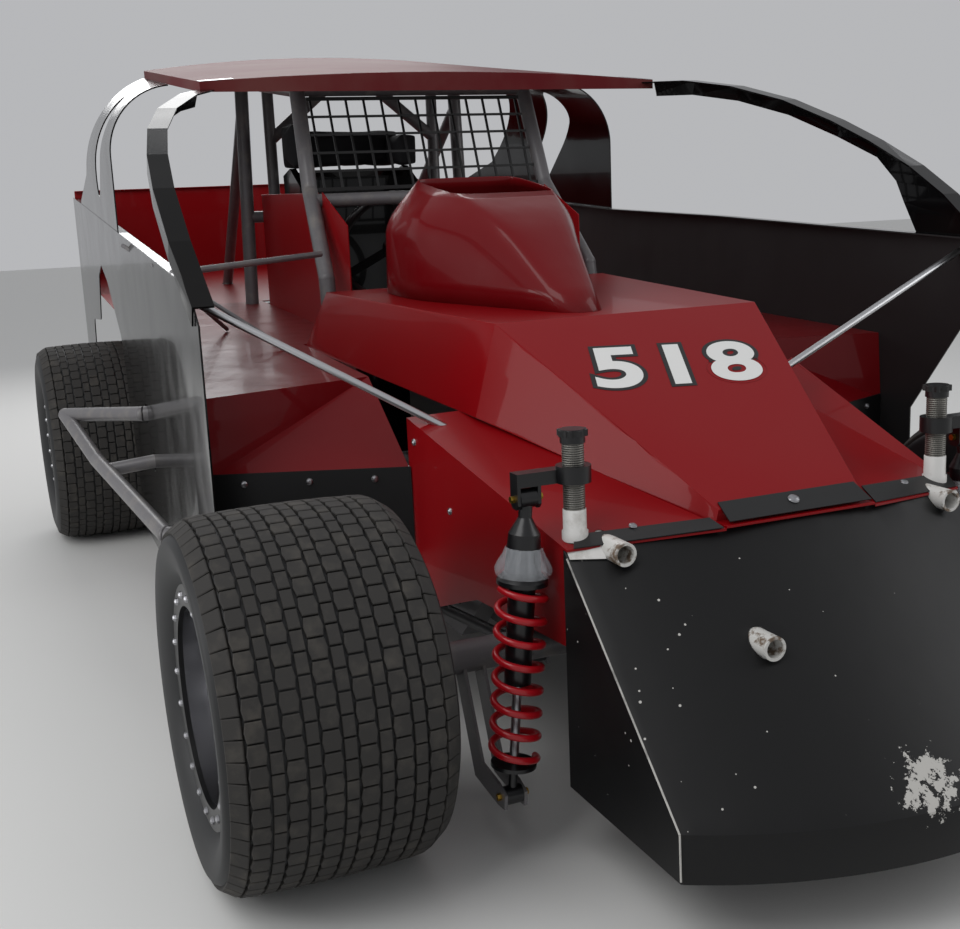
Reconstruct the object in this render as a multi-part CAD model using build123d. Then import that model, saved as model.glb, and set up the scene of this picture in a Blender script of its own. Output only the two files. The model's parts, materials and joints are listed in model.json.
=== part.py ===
from build123d import *
from math import atan2, cos, degrees, hypot, pi, radians, sin, tan
import os

# Open-wheel dirt-track stock car: sheet-metal body on a tube chassis, millimetres, Z up.
# While it is drawn, Y 0 is the front axle, +Y runs rearwards and X 0 is the middle plane.
# The right side of the car is at negative X. At the end everything is moved along Y, so that
# the origin lies on the floor under the middle of the car.

# Overall lengths
WHEELBASE = 2770.0
NOSE_AHEAD = 700.0
TAIL_BEHIND = 1010.0
FRONT_AXLE_Y = -(NOSE_AHEAD + WHEELBASE + TAIL_BEHIND) / 2 + NOSE_AHEAD

# Clearances
SEAT_GAP = 0.3
RUNNING = 0.05
TUBE_HOLE_GAP = 1.5
PANEL = 4.0

# Tyres and wheels
RIM_R = 190.5
RIM_LIP = 13.0
RIM_WALL = 5.0
RIM_HALF = 168.0
RIM_WELL = 24.0
WELL_HALF = 60.0
WHEEL_FACE_FROM_INSIDE = 104.0
WHEEL_DISC = 6.0
WHEEL_EYE_R = 106.0
BEAD_RING_IN_R = 176.0
BEAD_RING_OUT_R = 214.0
BEAD_RING = 9.0
TYRE_WALL = 13.0
TREAD_CROWN = 7.0
SHOULDER = 16.0
SIDE_BAND = 8.0
TYRE_SIDES = 32

FRONT_TYRE_R = 333.0
FRONT_TYRE_WIDTH = 396.0
FRONT_TRACK_HALF = 862.0
REAR_TYRE_R = 359.0
REAR_TYRE_WIDTH = 404.0
REAR_TRACK_HALF = 884.0

# Hubs and spindles
SPINDLE_R = 22.0
HUB_R = 46.0
HUB_LENGTH = 96.0
HUB_ARM_R = 133.0
HUB_ARM_WIDTH = 44.0
HUB_ARM = 12.0
HUB_CAP_R = 38.0
HUB_CAP = 26.0
ROTOR_R = 142.0
ROTOR = 12.0
HUB_ARMS = 5

# Front axle and steering
KINGPIN_X = 645.0
KINGPIN_R = 14.0
KINGPIN_BOSS_R = 27.0
KINGPIN_BOSS = 92.0
EAR = 15.0
EAR_R = 26.0
AXLE_R = 31.0
KNUCKLE_PLATE = 14.0
ARM_LENGTH = 150.0
ARM_THICK = 14.0
ARM_WIDTH = 34.0
TIE_PIN_R = 7.0
TIE_EYE_R = 17.0
TIE_EYE = 20.0
TIE_ROD_R = 9.0

# Coil-overs: middles of their lower and upper eyes, as half width, distance behind the front axle and height
COIL_FOOT = (530.0, -180.0, 130.0)
COIL_HEAD = (482.0, -180.0, 668.0)
REAR_COIL_FOOT = (540.0, WHEELBASE + 110.0, 262.0)
REAR_COIL_HEAD = (486.0, WHEELBASE + 130.0, 742.0)

# Chassis rails, side view line of the rail's middle: distance behind the front axle, height
RAIL_X = 300.0
RAIL_WIDE = 50.0
RAIL_TALL = 76.0
RAIL_LINE = [(-290.0, 470.0), (250.0, 470.0), (560.0, 200.0),
             (WHEELBASE - 530.0, 200.0), (WHEELBASE - 250.0, 560.0), (WHEELBASE + 710.0, 560.0)]
CROSS_R = 22.0
TUBE_R = 22.0

# Roll cage: feet on the rails' outriggers and tops under the roof
PILLAR_FOOT = (418.0, 1110.0)
PILLAR_DECK = (400.0, 1250.0, 980.0)
PILLAR_KNEE = (370.0, 1470.0, 1220.0)
PILLAR_TOP = (358.0, 1580.0, 1506.0)
HOOP_FOOT = (415.0, 2200.0)
HOOP_TOP = (378.0, 2200.0, 1590.0)
INNER_POST_X = 292.0
STAY_FOOT = (300.0, 3300.0)
STAY_HEAD_Z = 1500.0
DASH_Z = 1190.0
BELT_Z = 1150.0
BRACE_R = 19.0

# Side panels, seen from the side: distance behind the axle, height
SIDE_FRONT_Y = 440.0
SIDE_FRONT_X = 902.0
SIDE_REAR_Y = 3745.0
SIDE_REAR_X = 802.0
SIDE_TOP_REAR_Z = 1262.0
SIDE_TOP = {"right": [(548.0, 1022.0), (SIDE_REAR_Y, SIDE_TOP_REAR_Z)],
            "left": [(190.0, 1032.0), (1258.0, 1095.0), (1900.0, 1123.5), (SIDE_REAR_Y, SIDE_TOP_REAR_Z)]}
SIDE_NOSE = {"right": [(SIDE_FRONT_Y, 948.0)], "left": [(SIDE_FRONT_Y, 600.0), (215.0, 900.0)]}
SIDE_SILL_Z = 200.0
SIDE_TAIL_Z = 620.0
SIDE_FLANGE = 30.0
SIDE_YAW = degrees(atan2(SIDE_FRONT_X - SIDE_REAR_X, SIDE_REAR_Y - SIDE_FRONT_Y))

# Decks
DECK_FRONT_Z = 785.0
DECK_REAR_Z = 930.0
DECK_REAR_Y = 3704.0
DECK_BEND_OUT_Y = 560.0
DECK_BEND_IN_Y = 640.0
DECK_LIP_Z = 613.0
DECK_IN_X = 492.0
COCKPIT_X = 345.0
DECK_SPLIT_Y = 2262.0

# Hood sections: distance behind the axle, half width and height of the ridge, then of the foot
HOOD_FRONT_Y = -270.0
HOOD_BREAK_Y = 298.0
HOOD_REAR_Y = 1200.0
HOOD_SECTIONS = [(HOOD_FRONT_Y, 153.0, 621.0, 160.0, 596.0),
                 (HOOD_BREAK_Y, 320.0, 920.0, 372.0, 728.0),
                 (HOOD_REAR_Y, 418.0, 948.0, 486.0, 806.0)]

HOOD_LIP = 36.0

# Nose sections: height, distance ahead of the axle at the corner and in the middle
NOSE_HALF = 430.0
NOSE_BACK_Y = -212.0
NOSE_SECTIONS = [(135.0, -583.0, NOSE_AHEAD), (217.0, -581.0, NOSE_AHEAD), (650.0, -136.0, 240.0)]
NOSE_TOP_CORNER_Z = 578.0

# Roof
ROOF_FRONT_Y = 1340.0
ROOF_FRONT_HALF = 682.0
ROOF_FRONT_Z = 1506.0
ROOF_REAR_Y = 2450.0
ROOF_REAR_HALF = 650.0
ROOF_REAR_Z = 1652.0
ROOF_CROWN_FRONT = 24.0
ROOF_CROWN_REAR = 44.0
ROOF_LIP = 26.0

# Tail panel
TAIL_Y = 3705.0
TAIL_LIP = 18.0
TAIL_TOP_Z = 1288.0

# Rear bumper
BUMPER_R = 19.0
BUMPER_HALF = 560.0
BUMPER_Z = (400.0, 620.0)

# Seat
SEAT_X = -70.0
SEAT_HALF = 205.0

# Steering column: centre of the wheel's hub, lean of the column from upright, length
WHEEL_HUB = (1640.0, 1042.0)
COLUMN_LEAN = 68.0
COLUMN_R = 13.0
COLUMN_LENGTH = 540.0
COLLAR_BACK = 216.0
COLLAR_R = 24.0

# Sails
SAIL_FRONT_Y = 1925.0
SAIL_REAR_Y = 3320.0
SAIL_BEND_Z = 1350.0


def rail_z(y):
    """Height of the rail's middle line at a distance behind the front axle."""
    for (y0, z0), (y1, z1) in zip(RAIL_LINE, RAIL_LINE[1:]):
        if y0 <= y <= y1:
            return z0 + (z1 - z0) * (y - y0) / (y1 - y0)
    return RAIL_LINE[-1][1]


def side_x(y):
    """Half width of the body at the outside of the side panels."""
    return SIDE_FRONT_X - (y - SIDE_FRONT_Y) * (SIDE_FRONT_X - SIDE_REAR_X) / (SIDE_REAR_Y - SIDE_FRONT_Y)


def side_top_z(y, side="right"):
    """Height of a side panel's upper edge."""
    for (y0, z0), (y1, z1) in zip(SIDE_TOP[side], SIDE_TOP[side][1:]):
        if y <= y1:
            break
    return z0 + (z1 - z0) * (y - y0) / (y1 - y0)


def deck_z(y):
    """Height of the decks' upper face."""
    slope = (DECK_REAR_Z - DECK_FRONT_Z) / (DECK_REAR_Y - DECK_BEND_OUT_Y)
    return DECK_FRONT_Z + (y - DECK_BEND_OUT_Y) * slope


def roof_z(y):
    """Height of the roof's edge."""
    return ROOF_FRONT_Z + (ROOF_REAR_Z - ROOF_FRONT_Z) * (y - ROOF_FRONT_Y) / (ROOF_REAR_Y - ROOF_FRONT_Y)


def roof_half(y):
    """Half width of the roof."""
    share = (y - ROOF_FRONT_Y) / (ROOF_REAR_Y - ROOF_FRONT_Y)
    return ROOF_FRONT_HALF + (ROOF_REAR_HALF - ROOF_FRONT_HALF) * share


def other_side(part):
    """The same piece on the left of the car."""
    return mirror(part, about=Plane.YZ)


def both_sides(part):
    return [part, other_side(part)]


def rod(start, end, radius):
    """Straight round bar or tube between two points."""
    a, b = Vector(*start), Vector(*end)
    return Solid.make_cylinder(radius, (b - a).length, Plane(origin=a, z_dir=(b - a).normalized()))


def frame_of(tubes, radius):
    """Straight tubes welded where they meet: list of runs, each a list of points."""
    joints, bars = [], []
    for run in tubes:
        bars += [rod(a, b, radius) for a, b in zip(run, run[1:])]
        joints += [Pos(*p) * Sphere(radius + 0.5) for p in run[1:-1]]
    return bars[0].fuse(*bars[1:], *joints) if len(bars) + len(joints) > 1 else bars[0]


def block(low, high):
    """Box from its lowest to its highest corner."""
    size = [b - a for a, b in zip(low, high)]
    middle = [(a + b) / 2 for a, b in zip(low, high)]
    return Pos(*middle) * Box(*size)


def plate_yz(points, x, thick):
    """Flat plate with an outline in Y and Z, from x inwards to x plus thick."""
    outline = Plane.YZ.offset(x) * make_face(Polyline(*points, close=True))
    return extrude(outline, thick)


def folded(corners, facets, push):
    """Folded sheet: flat facets between named corners, each as thick as the push."""
    pieces = []
    for names in facets:
        wire = Wire.make_polygon([Vector(*corners[n]) for n in names], close=True)
        pieces.append(Solid.extrude(Face(wire), Vector(*push)))
    return pieces[0].fuse(*pieces[1:]) if len(pieces) > 1 else pieces[0]


def place_wheel(part, side, y, z, x):
    """A piece drawn for the right side with its outside at -X, put at its wheel's centre."""
    if side == "left":
        part = other_side(part)
        x = -x
    return Pos(-x, y, z) * part


def revolve_x(lines):
    return revolve(make_face(lines), Axis.X)


def ring_section(x, radius):
    """Many-sided section across the axle, its flats at the radius."""
    flat_down = 180 / TYRE_SIDES
    return Plane.YZ.offset(x) * RegularPolygon(radius, TYRE_SIDES, major_radius=False, rotation=flat_down)


def ring_loft(line):
    """Solid through sections given as place along the axle and radius."""
    return loft([ring_section(x, r) for x, r in line], ruled=True)


def both_ends(line):
    """The same loft at both ends of the axle."""
    return [ring_loft([(sign * x, r) for x, r in line]) for sign in (-1, 1)]


def tyre(radius, width):
    """Wide square-shouldered tyre with an open inside, out to the tips of its tread blocks."""
    half, seat, heel = width / 2, RIM_R - 1 + SEAT_GAP, BEAD_RING_OUT_R + 4
    tread, edge = half - SHOULDER, radius - TREAD_CROWN
    low, bulge = RIM_HALF - RIM_WALL - SEAT_GAP, (radius + heel) / 2 + 8
    thin, inner_half, inner_edge = low - TYRE_WALL, half - TYRE_WALL, edge - TYRE_WALL - 5
    body = ring_loft([(-half, bulge + SIDE_BAND), (-tread, edge), (-tread / 2, radius), (tread / 2, radius),
                      (tread, edge), (half, bulge + SIDE_BAND)])
    dishes = both_ends([(half + 1, bulge - SIDE_BAND), (low, heel)])
    room = ring_loft([(-inner_half, bulge), (-inner_half + SHOULDER, inner_edge),
                      (inner_half - SHOULDER, inner_edge),
                      (inner_half, bulge)])
    beads = both_ends([(inner_half + 1, bulge - SIDE_BAND), (thin, heel)])
    bore = ring_loft([(-width, seat), (width, seat)])
    return body.cut(*dishes, room.cut(*beads), bore)


def wheel():
    """Wide two-piece wheel: barrel with a drop centre, centre disc and bead ring outside."""
    seat, lip, well = RIM_R - 1, RIM_R + RIM_LIP, RIM_R - RIM_WELL
    line = [(-RIM_HALF, lip), (-RIM_HALF + RIM_WALL, lip), (-RIM_HALF + RIM_WALL, seat),
            (-WELL_HALF, seat), (-WELL_HALF + 20, well), (WELL_HALF - 20, well), (WELL_HALF, seat),
            (RIM_HALF - RIM_WALL, seat), (RIM_HALF - RIM_WALL, lip), (RIM_HALF, lip),
            (RIM_HALF, seat - RIM_WALL), (WELL_HALF + 2, seat - RIM_WALL),
            (WELL_HALF - 18, well - RIM_WALL), (18 - WELL_HALF, well - RIM_WALL),
            (-WELL_HALF - 2, seat - RIM_WALL), (-RIM_HALF, seat - RIM_WALL)]
    barrel = revolve_x(Polyline(*line, close=True))
    face = RIM_HALF - WHEEL_FACE_FROM_INSIDE
    disc = revolve_x(Polyline((face, WHEEL_EYE_R), (face + WHEEL_DISC, WHEEL_EYE_R),
                              (face + WHEEL_DISC, seat - RIM_WALL / 2), (face, seat - RIM_WALL / 2),
                              close=True))
    ring = revolve_x(Polyline((-RIM_HALF - BEAD_RING, BEAD_RING_IN_R), (-RIM_HALF, BEAD_RING_IN_R),
                              (-RIM_HALF, BEAD_RING_OUT_R), (-RIM_HALF - BEAD_RING, BEAD_RING_OUT_R),
                              close=True))
    return barrel + disc + ring


def hub():
    """Five-armed hub with its brake disc, bored for the spindle, its face on the wheel's disc."""
    face = RIM_HALF - WHEEL_FACE_FROM_INSIDE + WHEEL_DISC
    out_end = face - HUB_CAP
    barrel = revolve_x(Polyline((out_end, 0), (out_end, HUB_CAP_R), (face, HUB_R),
                                (face + HUB_LENGTH, HUB_R), (face + HUB_LENGTH, 0), close=True))
    arms = [Rot(X=360 / HUB_ARMS * i) * block((face, -HUB_ARM_WIDTH / 2, 0),
                                              (face + HUB_ARM, HUB_ARM_WIDTH / 2, HUB_ARM_R))
            for i in range(HUB_ARMS)]
    rotor_x = face + HUB_LENGTH - 3 * ROTOR
    rotor = revolve_x(Polyline((rotor_x, HUB_R - 5), (rotor_x + ROTOR, HUB_R - 5),
                               (rotor_x + ROTOR, ROTOR_R), (rotor_x, ROTOR_R), close=True))
    bore = revolve_x(Polyline((out_end + PANEL, 0), (out_end + PANEL, SPINDLE_R + RUNNING),
                              (face + HUB_LENGTH + 1, SPINDLE_R + RUNNING), (face + HUB_LENGTH + 1, 0),
                              close=True))
    return barrel.fuse(rotor, *arms) - bore


def spindle(track_half, radius, root_x):
    """Spindle of the right wheel, from its root to just inside the hub's closed end."""
    tip = track_half - (RIM_HALF - WHEEL_FACE_FROM_INSIDE + WHEEL_DISC) + HUB_CAP - PANEL - 2
    return rod((-root_x, 0, 0), (-tip, 0, 0), radius)


def arm_low():
    """Height of the steering arms' underside: they grow out of the knuckles' lower ears."""
    return FRONT_TYRE_R - KINGPIN_BOSS / 2 - SEAT_GAP - EAR - ARM_THICK + 1


def knuckle():
    """Right knuckle: two ears with the kingpin, plate, spindle and steering arm."""
    z = FRONT_TYRE_R
    half = KINGPIN_BOSS / 2 + SEAT_GAP
    pin = rod((-KINGPIN_X, 0, z - half - EAR), (-KINGPIN_X, 0, z + half + EAR), KINGPIN_R)
    plate_in = KINGPIN_X + KINGPIN_BOSS_R + 5
    ears = []
    for low in (z + half, z - half - EAR):
        ears.append(rod((-KINGPIN_X, 0, low), (-KINGPIN_X, 0, low + EAR), EAR_R))
        ears.append(block((-plate_in - KNUCKLE_PLATE, -EAR_R, low), (-KINGPIN_X, EAR_R, low + EAR)))
    plate = block((-plate_in - KNUCKLE_PLATE, -EAR_R, z - half - EAR), (-plate_in, EAR_R, z + half + EAR))
    axle = Pos(0, 0, z) * spindle(FRONT_TRACK_HALF, SPINDLE_R, plate_in)
    low = arm_low()
    arm = block((-KINGPIN_X - ARM_WIDTH / 2, 0, low),
                (-KINGPIN_X + ARM_WIDTH / 2, ARM_LENGTH, low + ARM_THICK))
    eye = rod((-KINGPIN_X, ARM_LENGTH, low), (-KINGPIN_X, ARM_LENGTH, low + ARM_THICK), ARM_WIDTH / 2 + 1)
    tie_pin = rod((-KINGPIN_X, ARM_LENGTH, low - TIE_EYE - 2), (-KINGPIN_X, ARM_LENGTH, low + 1), TIE_PIN_R)
    return pin.fuse(*ears, plate, axle, arm, eye, tie_pin)


def tie_rod():
    """Rod that joins the two steering arms from below, with an eye at each end."""
    top = arm_low() - SEAT_GAP
    eyes = [rod((x, ARM_LENGTH, top - TIE_EYE), (x, ARM_LENGTH, top), TIE_EYE_R)
            for x in (-KINGPIN_X, KINGPIN_X)]
    middle = top - TIE_EYE / 2
    bar = rod((-KINGPIN_X + 9, ARM_LENGTH, middle), (KINGPIN_X - 9, ARM_LENGTH, middle), TIE_ROD_R)
    holes = [rod((x, ARM_LENGTH, top - TIE_EYE - 1), (x, ARM_LENGTH, top + 1), TIE_PIN_R + RUNNING)
             for x in (-KINGPIN_X, KINGPIN_X)]
    return bar.fuse(*eyes).cut(*holes)


def front_axle():
    """Tube axle between the kingpin bosses, with the coil-over brackets ahead of it."""
    z = FRONT_TYRE_R
    tube = rod((-KINGPIN_X + 10, 0, z), (KINGPIN_X - 10, 0, z), AXLE_R)
    bosses = [rod((x, 0, z - KINGPIN_BOSS / 2), (x, 0, z + KINGPIN_BOSS / 2), KINGPIN_BOSS_R)
              for x in (-KINGPIN_X, KINGPIN_X)]
    bores = [rod((x, 0, z - KINGPIN_BOSS), (x, 0, z + KINGPIN_BOSS), KINGPIN_R + RUNNING)
             for x in (-KINGPIN_X, KINGPIN_X)]
    y, foot_z = COIL_FOOT[1:]
    outline = [(AXLE_R * 0.7, z - AXLE_R * 0.6), (-AXLE_R * 0.8, z - AXLE_R * 0.3), (y + 84, foot_z + 30),
               (y + 14, foot_z + 20), (y - 18, foot_z + 8), (y - 14, foot_z - 20), (y + 14, foot_z - 22),
               (y + 120, foot_z - 10)]
    brackets = eye_ears(-COIL_FOOT[0], outline) + eye_ears(COIL_FOOT[0], outline)
    brackets += [link_lug(side * LINK_FRONT[0], LINK_FRONT[1], LINK_FRONT[2], 0, z) for side in (-1, 1)]
    return tube.fuse(*bosses, *brackets).cut(*bores)


# Coil-overs: eye half length, eye radius and brackets
COIL_EYE_HALF = 16.0
COIL_EYE_R = 17.0
BRACKET = 6.0
SHOCK_BODY_R = 24.0
SHOCK_ROD_R = 8.0
SHOCK_NECK_R = 12.0
SPRING_R = 41.0
SPRING_WIRE_R = 6.5
SPRING_TURNS = 7.5
SPRING_LOW = 62.0


def coil_plane(foot, head):
    """Plane at a right coil-over's foot with its Z along the coil-over, and its length."""
    foot, head = Vector(-foot[0], *foot[1:]), Vector(-head[0], *head[1:])
    return Plane(origin=foot, x_dir=(0, 1, 0), z_dir=(head - foot).normalized()), (head - foot).length


def spring_high(length):
    """Height of the spring's upper end above the foot of a coil-over."""
    return length - 152.0


def coilover(foot, head):
    """Damper with body, rod, spring seats and two eyes."""
    plane, length = coil_plane(foot, head)
    low, top = SPRING_LOW - SEAT_GAP, spring_high(length) + SEAT_GAP
    line = [(0, 8), (SHOCK_ROD_R, 8), (SHOCK_ROD_R, low - 7), (SPRING_R, low - 7), (SPRING_R, low),
            (SHOCK_ROD_R, low), (SHOCK_ROD_R, top - 184), (SHOCK_BODY_R, top - 180), (SHOCK_BODY_R, top),
            (SPRING_R + 4, top), (SPRING_R + 4, top + 8), (SHOCK_BODY_R + 8, top + 21),
            (SHOCK_BODY_R + 4, length - 62), (SHOCK_NECK_R, length - 34),
            (SHOCK_NECK_R, length - 8), (0, length - 8)]
    body = revolve(Plane.XZ * make_face(Polyline(*line, close=True)), Axis.Z)
    eyes = [rod((-x - COIL_EYE_HALF, y, z), (-x + COIL_EYE_HALF, y, z), COIL_EYE_R)
            for x, y, z in (foot, head)]
    return (plane.location * body).fuse(*eyes)


def spring(foot, head):
    """Coil spring round the damper, of six-sided wire."""
    plane, length = coil_plane(foot, head)
    end = SPRING_WIRE_R * cos(radians(30))
    rise = spring_high(length) - SPRING_LOW - 2 * end
    path = Helix(rise / SPRING_TURNS, rise, SPRING_R)
    across = Plane(origin=path @ 0, x_dir=(1, 0, 0), z_dir=path % 0)
    coil = sweep(across * RegularPolygon(SPRING_WIRE_R, 6), path=path, is_frenet=True)
    return plane.location * (Pos(0, 0, SPRING_LOW + end) * coil)


def eye_ears(x, outline):
    """Two bracket plates on either side of an eye at X, with an outline in Y and Z."""
    plates = []
    for face in (-1, 1):
        near = x + face * (COIL_EYE_HALF + SEAT_GAP)
        plates.append(plate_yz(outline, min(near, near + face * BRACKET), BRACKET))
    return plates


# Front posts that carry the coil-overs' heads
POST = (398.0, -196.0)
POST_SLEEVE = 3.0
POST_ARM = 24.0
POST_TOP_Z = 782.0
POST_R = 19.0
POST_CLAMP = 30.0


def front_post():
    """Post on the front cross tube, with its cap and the clamp that holds the coil-over."""
    x, y = POST
    low = RAIL_LINE[0][1]
    sleeve = rod((-x, y, low), (-x, y, 596), POST_R + POST_SLEEVE)
    post = rod((-x, y, 590), (-x, y, POST_TOP_Z - 22), POST_R)
    cap = rod((-x, y, POST_TOP_Z - 24), (-x, y, POST_TOP_Z), POST_R + 3)
    arm_z = COIL_HEAD[2] + COIL_EYE_R + 4
    clamp = rod((-x, y, arm_z), (-x, y, arm_z + POST_CLAMP), POST_R + 12)
    reach = COIL_HEAD[0] + COIL_EYE_HALF + SEAT_GAP + BRACKET
    arm = block((-reach, COIL_HEAD[1] - 15, arm_z), (-x, COIL_HEAD[1] + 15, arm_z + POST_ARM))
    eye_y, eye_z = COIL_HEAD[1:]
    ears = eye_ears(-COIL_HEAD[0],
                    [(eye_y - 15, arm_z + 5), (eye_y + 15, arm_z + 5), (eye_y + 15, eye_z - 10),
                                    (eye_y + 8, eye_z - 18), (eye_y - 8, eye_z - 18),
                                    (eye_y - 15, eye_z - 10)])
    saddle = rod((-x - 60, y, low), (-x + 60, y, low), CROSS_R + SEAT_GAP)
    return sleeve.fuse(post, cap, clamp, arm, *ears) - saddle


# Bumper sockets: half width, tip's distance ahead, height
UPPER_SOCKET = (352.0, -292.0, 574.0)
LOWER_SOCKET = (184.0, -480.0, 436.0)
SOCKET_R = 21.0
SOCKET_BORE_R = 16.0
SOCKET_DEPTH = 70.0


def socket(x, tip, back_y):
    """Open-ended tube that a bumper's leg plugs into."""
    tube = rod((x, tip[1], tip[2]), (x, back_y, tip[2]), SOCKET_R)
    return tube, rod((x, tip[1] - 1, tip[2]), (x, tip[1] + SOCKET_DEPTH, tip[2]), SOCKET_BORE_R)


def chassis_frame():
    """Two rails with their outriggers and sockets, the cross tubes between them, and what stands on them."""
    return [chassis_rail(-1), chassis_rail(1), *cross_tubes(), *rear_coil_mounts(), *seat_mounts()]


# Tubes across the frame: distance behind the axle, reach to each side
CROSS_TUBES = [(POST[1], POST[0] + 22), (RAIL_LINE[0][0] + CROSS_R, RAIL_X),
               (PILLAR_FOOT[1], PILLAR_FOOT[0] + TUBE_R),
               (HOOP_FOOT[1], HOOP_FOOT[0] + TUBE_R), (WHEELBASE + 180, RAIL_X),
               (RAIL_LINE[-1][0] - CROSS_R, RAIL_X)]


def chassis_rail(side):
    """One rail with its outriggers, upper bumper socket, link lugs and the rear coil-over's upright."""
    half = RAIL_TALL / 2
    outline = [(y, z + half) for y, z in RAIL_LINE] + [(y, z - half) for y, z in reversed(RAIL_LINE)]
    rail = plate_yz(outline, side * RAIL_X - RAIL_WIDE / 2, RAIL_WIDE)
    x, front_z = side * UPPER_SOCKET[0], RAIL_LINE[0][1]
    tube, bore = socket(x, UPPER_SOCKET, POST[1] + 10)
    parts = [tube, rod((x, POST[1], front_z), (x, POST[1], UPPER_SOCKET[2]), 15)]
    for y, reach in CROSS_TUBES:
        if reach > RAIL_X:
            parts.append(rod((side * RAIL_X, y, rail_z(y)), (side * reach, y, rail_z(y)), CROSS_R))
    for lug_x, y, z in (LINK_RAIL_FRONT, LINK_RAIL_REAR):
        parts.append(link_lug(side * lug_x, y, z, y, rail_z(y)))
    y, top = REAR_COIL_HEAD[1], rear_coil_tube_z()
    upright = rod((side * RAIL_X, y, rail_z(y)), (side * RAIL_X, y, top), CROSS_R - 3)
    saddle = rod((-900, y, top), (900, y, top), CROSS_R + SEAT_GAP)
    return rail.fuse(*parts).cut(bore).fuse(upright - saddle)


def cross_tubes():
    """Tubes between the rails, the foremost with the lower bumper socket."""
    reach = RAIL_X - RAIL_WIDE / 2 - SEAT_GAP
    tubes = [rod((-reach, y, rail_z(y)), (reach, y, rail_z(y)), CROSS_R) for y, _ in CROSS_TUBES]
    tube, bore = socket(-LOWER_SOCKET[0], LOWER_SOCKET, RAIL_LINE[0][0] + CROSS_R)
    tubes[1] = tubes[1].fuse(tube) - bore
    return tubes


def rear_coil_tube_z():
    """Height of the cross tube that carries the rear coil-overs' heads."""
    return REAR_COIL_HEAD[2] + COIL_EYE_R + 6 + CROSS_R


def rear_coil_mounts():
    """Cross tube on the rails' uprights with the ears for the rear coil-overs' heads."""
    x, y, z = REAR_COIL_HEAD
    tube_z = rear_coil_tube_z()
    outline = [(y - 15, tube_z), (y + 15, tube_z), (y + 15, z - 10), (y + 8, z - 18), (y - 8, z - 18),
               (y - 15, z - 10)]
    ears = eye_ears(-x, outline) + eye_ears(x, outline)
    return [rod((-x - 24, y, tube_z), (x + 24, y, tube_z), CROSS_R).fuse(*ears)]


def seat_mounts():
    """Uprights on the rails and stubs that reach the seat's sides."""
    parts = []
    for y in SEAT_MOUNT_Y:
        for side in (-1, 1):
            x, end = side * RAIL_X, SEAT_X + side * (SEAT_HALF + SEAT_GAP)
            near = x - side * (BRACE_R + SEAT_GAP)
            foot = rail_z(y) + RAIL_TALL / 2 + SEAT_GAP
            parts.append(rod((x, y, foot), (x, y, SEAT_MOUNT_Z + BRACE_R), BRACE_R))
            parts.append(rod((near, y, SEAT_MOUNT_Z), (end, y, SEAT_MOUNT_Z), BRACE_R - 3))
    return parts


# Suspension links, right side: centres of the eyes as half width, distance behind the axle, height
LINK_FRONT = (364.0, 56.0, 290.0)
LINK_RAIL_FRONT = (364.0, 700.0, 220.0)
LINK_REAR = (364.0, 2706.0, 300.0)
LINK_RAIL_REAR = (364.0, 2290.0, 280.0)
LINK_R = 13.0
LINK_EYE_R = 19.0
LINK_EYE_HALF = 13.0
LINK_LUG = 7.0
SEAT_MOUNT_Y = (1750.0, 2000.0)
SEAT_MOUNT_Z = 470.0


def link_lug(x, y, z, carrier_y, carrier_z):
    """Lug on the inner side of a link's eye, out to what carries it."""
    side = 1 if x > 0 else -1
    near = x - side * (LINK_EYE_HALF + SEAT_GAP)
    low = min(near, near - side * LINK_LUG)
    lug = plate_yz([(y - LINK_EYE_R, z - LINK_EYE_R), (y + LINK_EYE_R, z - LINK_EYE_R),
                    (y + LINK_EYE_R, z + LINK_EYE_R),
                    (y - LINK_EYE_R, z + LINK_EYE_R)], low, LINK_LUG)
    if abs(carrier_y - y) < 1:
        inner = side * (RAIL_X + RAIL_WIDE / 2 - 5)
        reach = block((min(inner, near), y - LINK_EYE_R, z - LINK_EYE_R),
                      (max(inner, near), y + LINK_EYE_R, z - LINK_EYE_R + 10))
        return lug.fuse(reach)
    return lug.fuse(plate_yz([(y, z - LINK_EYE_R), (carrier_y, carrier_z - 15), (carrier_y, carrier_z + 15),
                              (y, z + LINK_EYE_R)],
                             low, LINK_LUG))


def suspension_link(front, rear):
    """Right link between two eyes."""
    a, b = (-front[0], *front[1:]), (-rear[0], *rear[1:])
    eyes = [rod((p[0] - LINK_EYE_HALF, *p[1:]), (p[0] + LINK_EYE_HALF, *p[1:]), LINK_EYE_R) for p in (a, b)]
    return rod(a, b, LINK_R).fuse(*eyes)


def cage_lines(side):
    """Middle lines of one side's pillar, main hoop and rear stay, each as points from its foot up."""
    def sided(point):
        return (side * point[0], *point[1:])
    foot = (*PILLAR_FOOT, rail_z(PILLAR_FOOT[1]))
    pillar = [sided(p) for p in (foot, PILLAR_DECK, PILLAR_KNEE, PILLAR_TOP)]
    hoop = [sided((*HOOP_FOOT, rail_z(HOOP_FOOT[1]))), sided(HOOP_TOP)]
    stay = [sided((*STAY_FOOT, rail_z(STAY_FOOT[1]) + RAIL_TALL / 2 - 10)), at_height(*hoop, STAY_HEAD_Z)]
    return pillar, hoop, stay


def at_height(low, high, z):
    """Point at height z on the line between two points."""
    t = (z - low[2]) / (high[2] - low[2])
    return tuple(a + (b - a) * t for a, b in zip(low, high))


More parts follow.
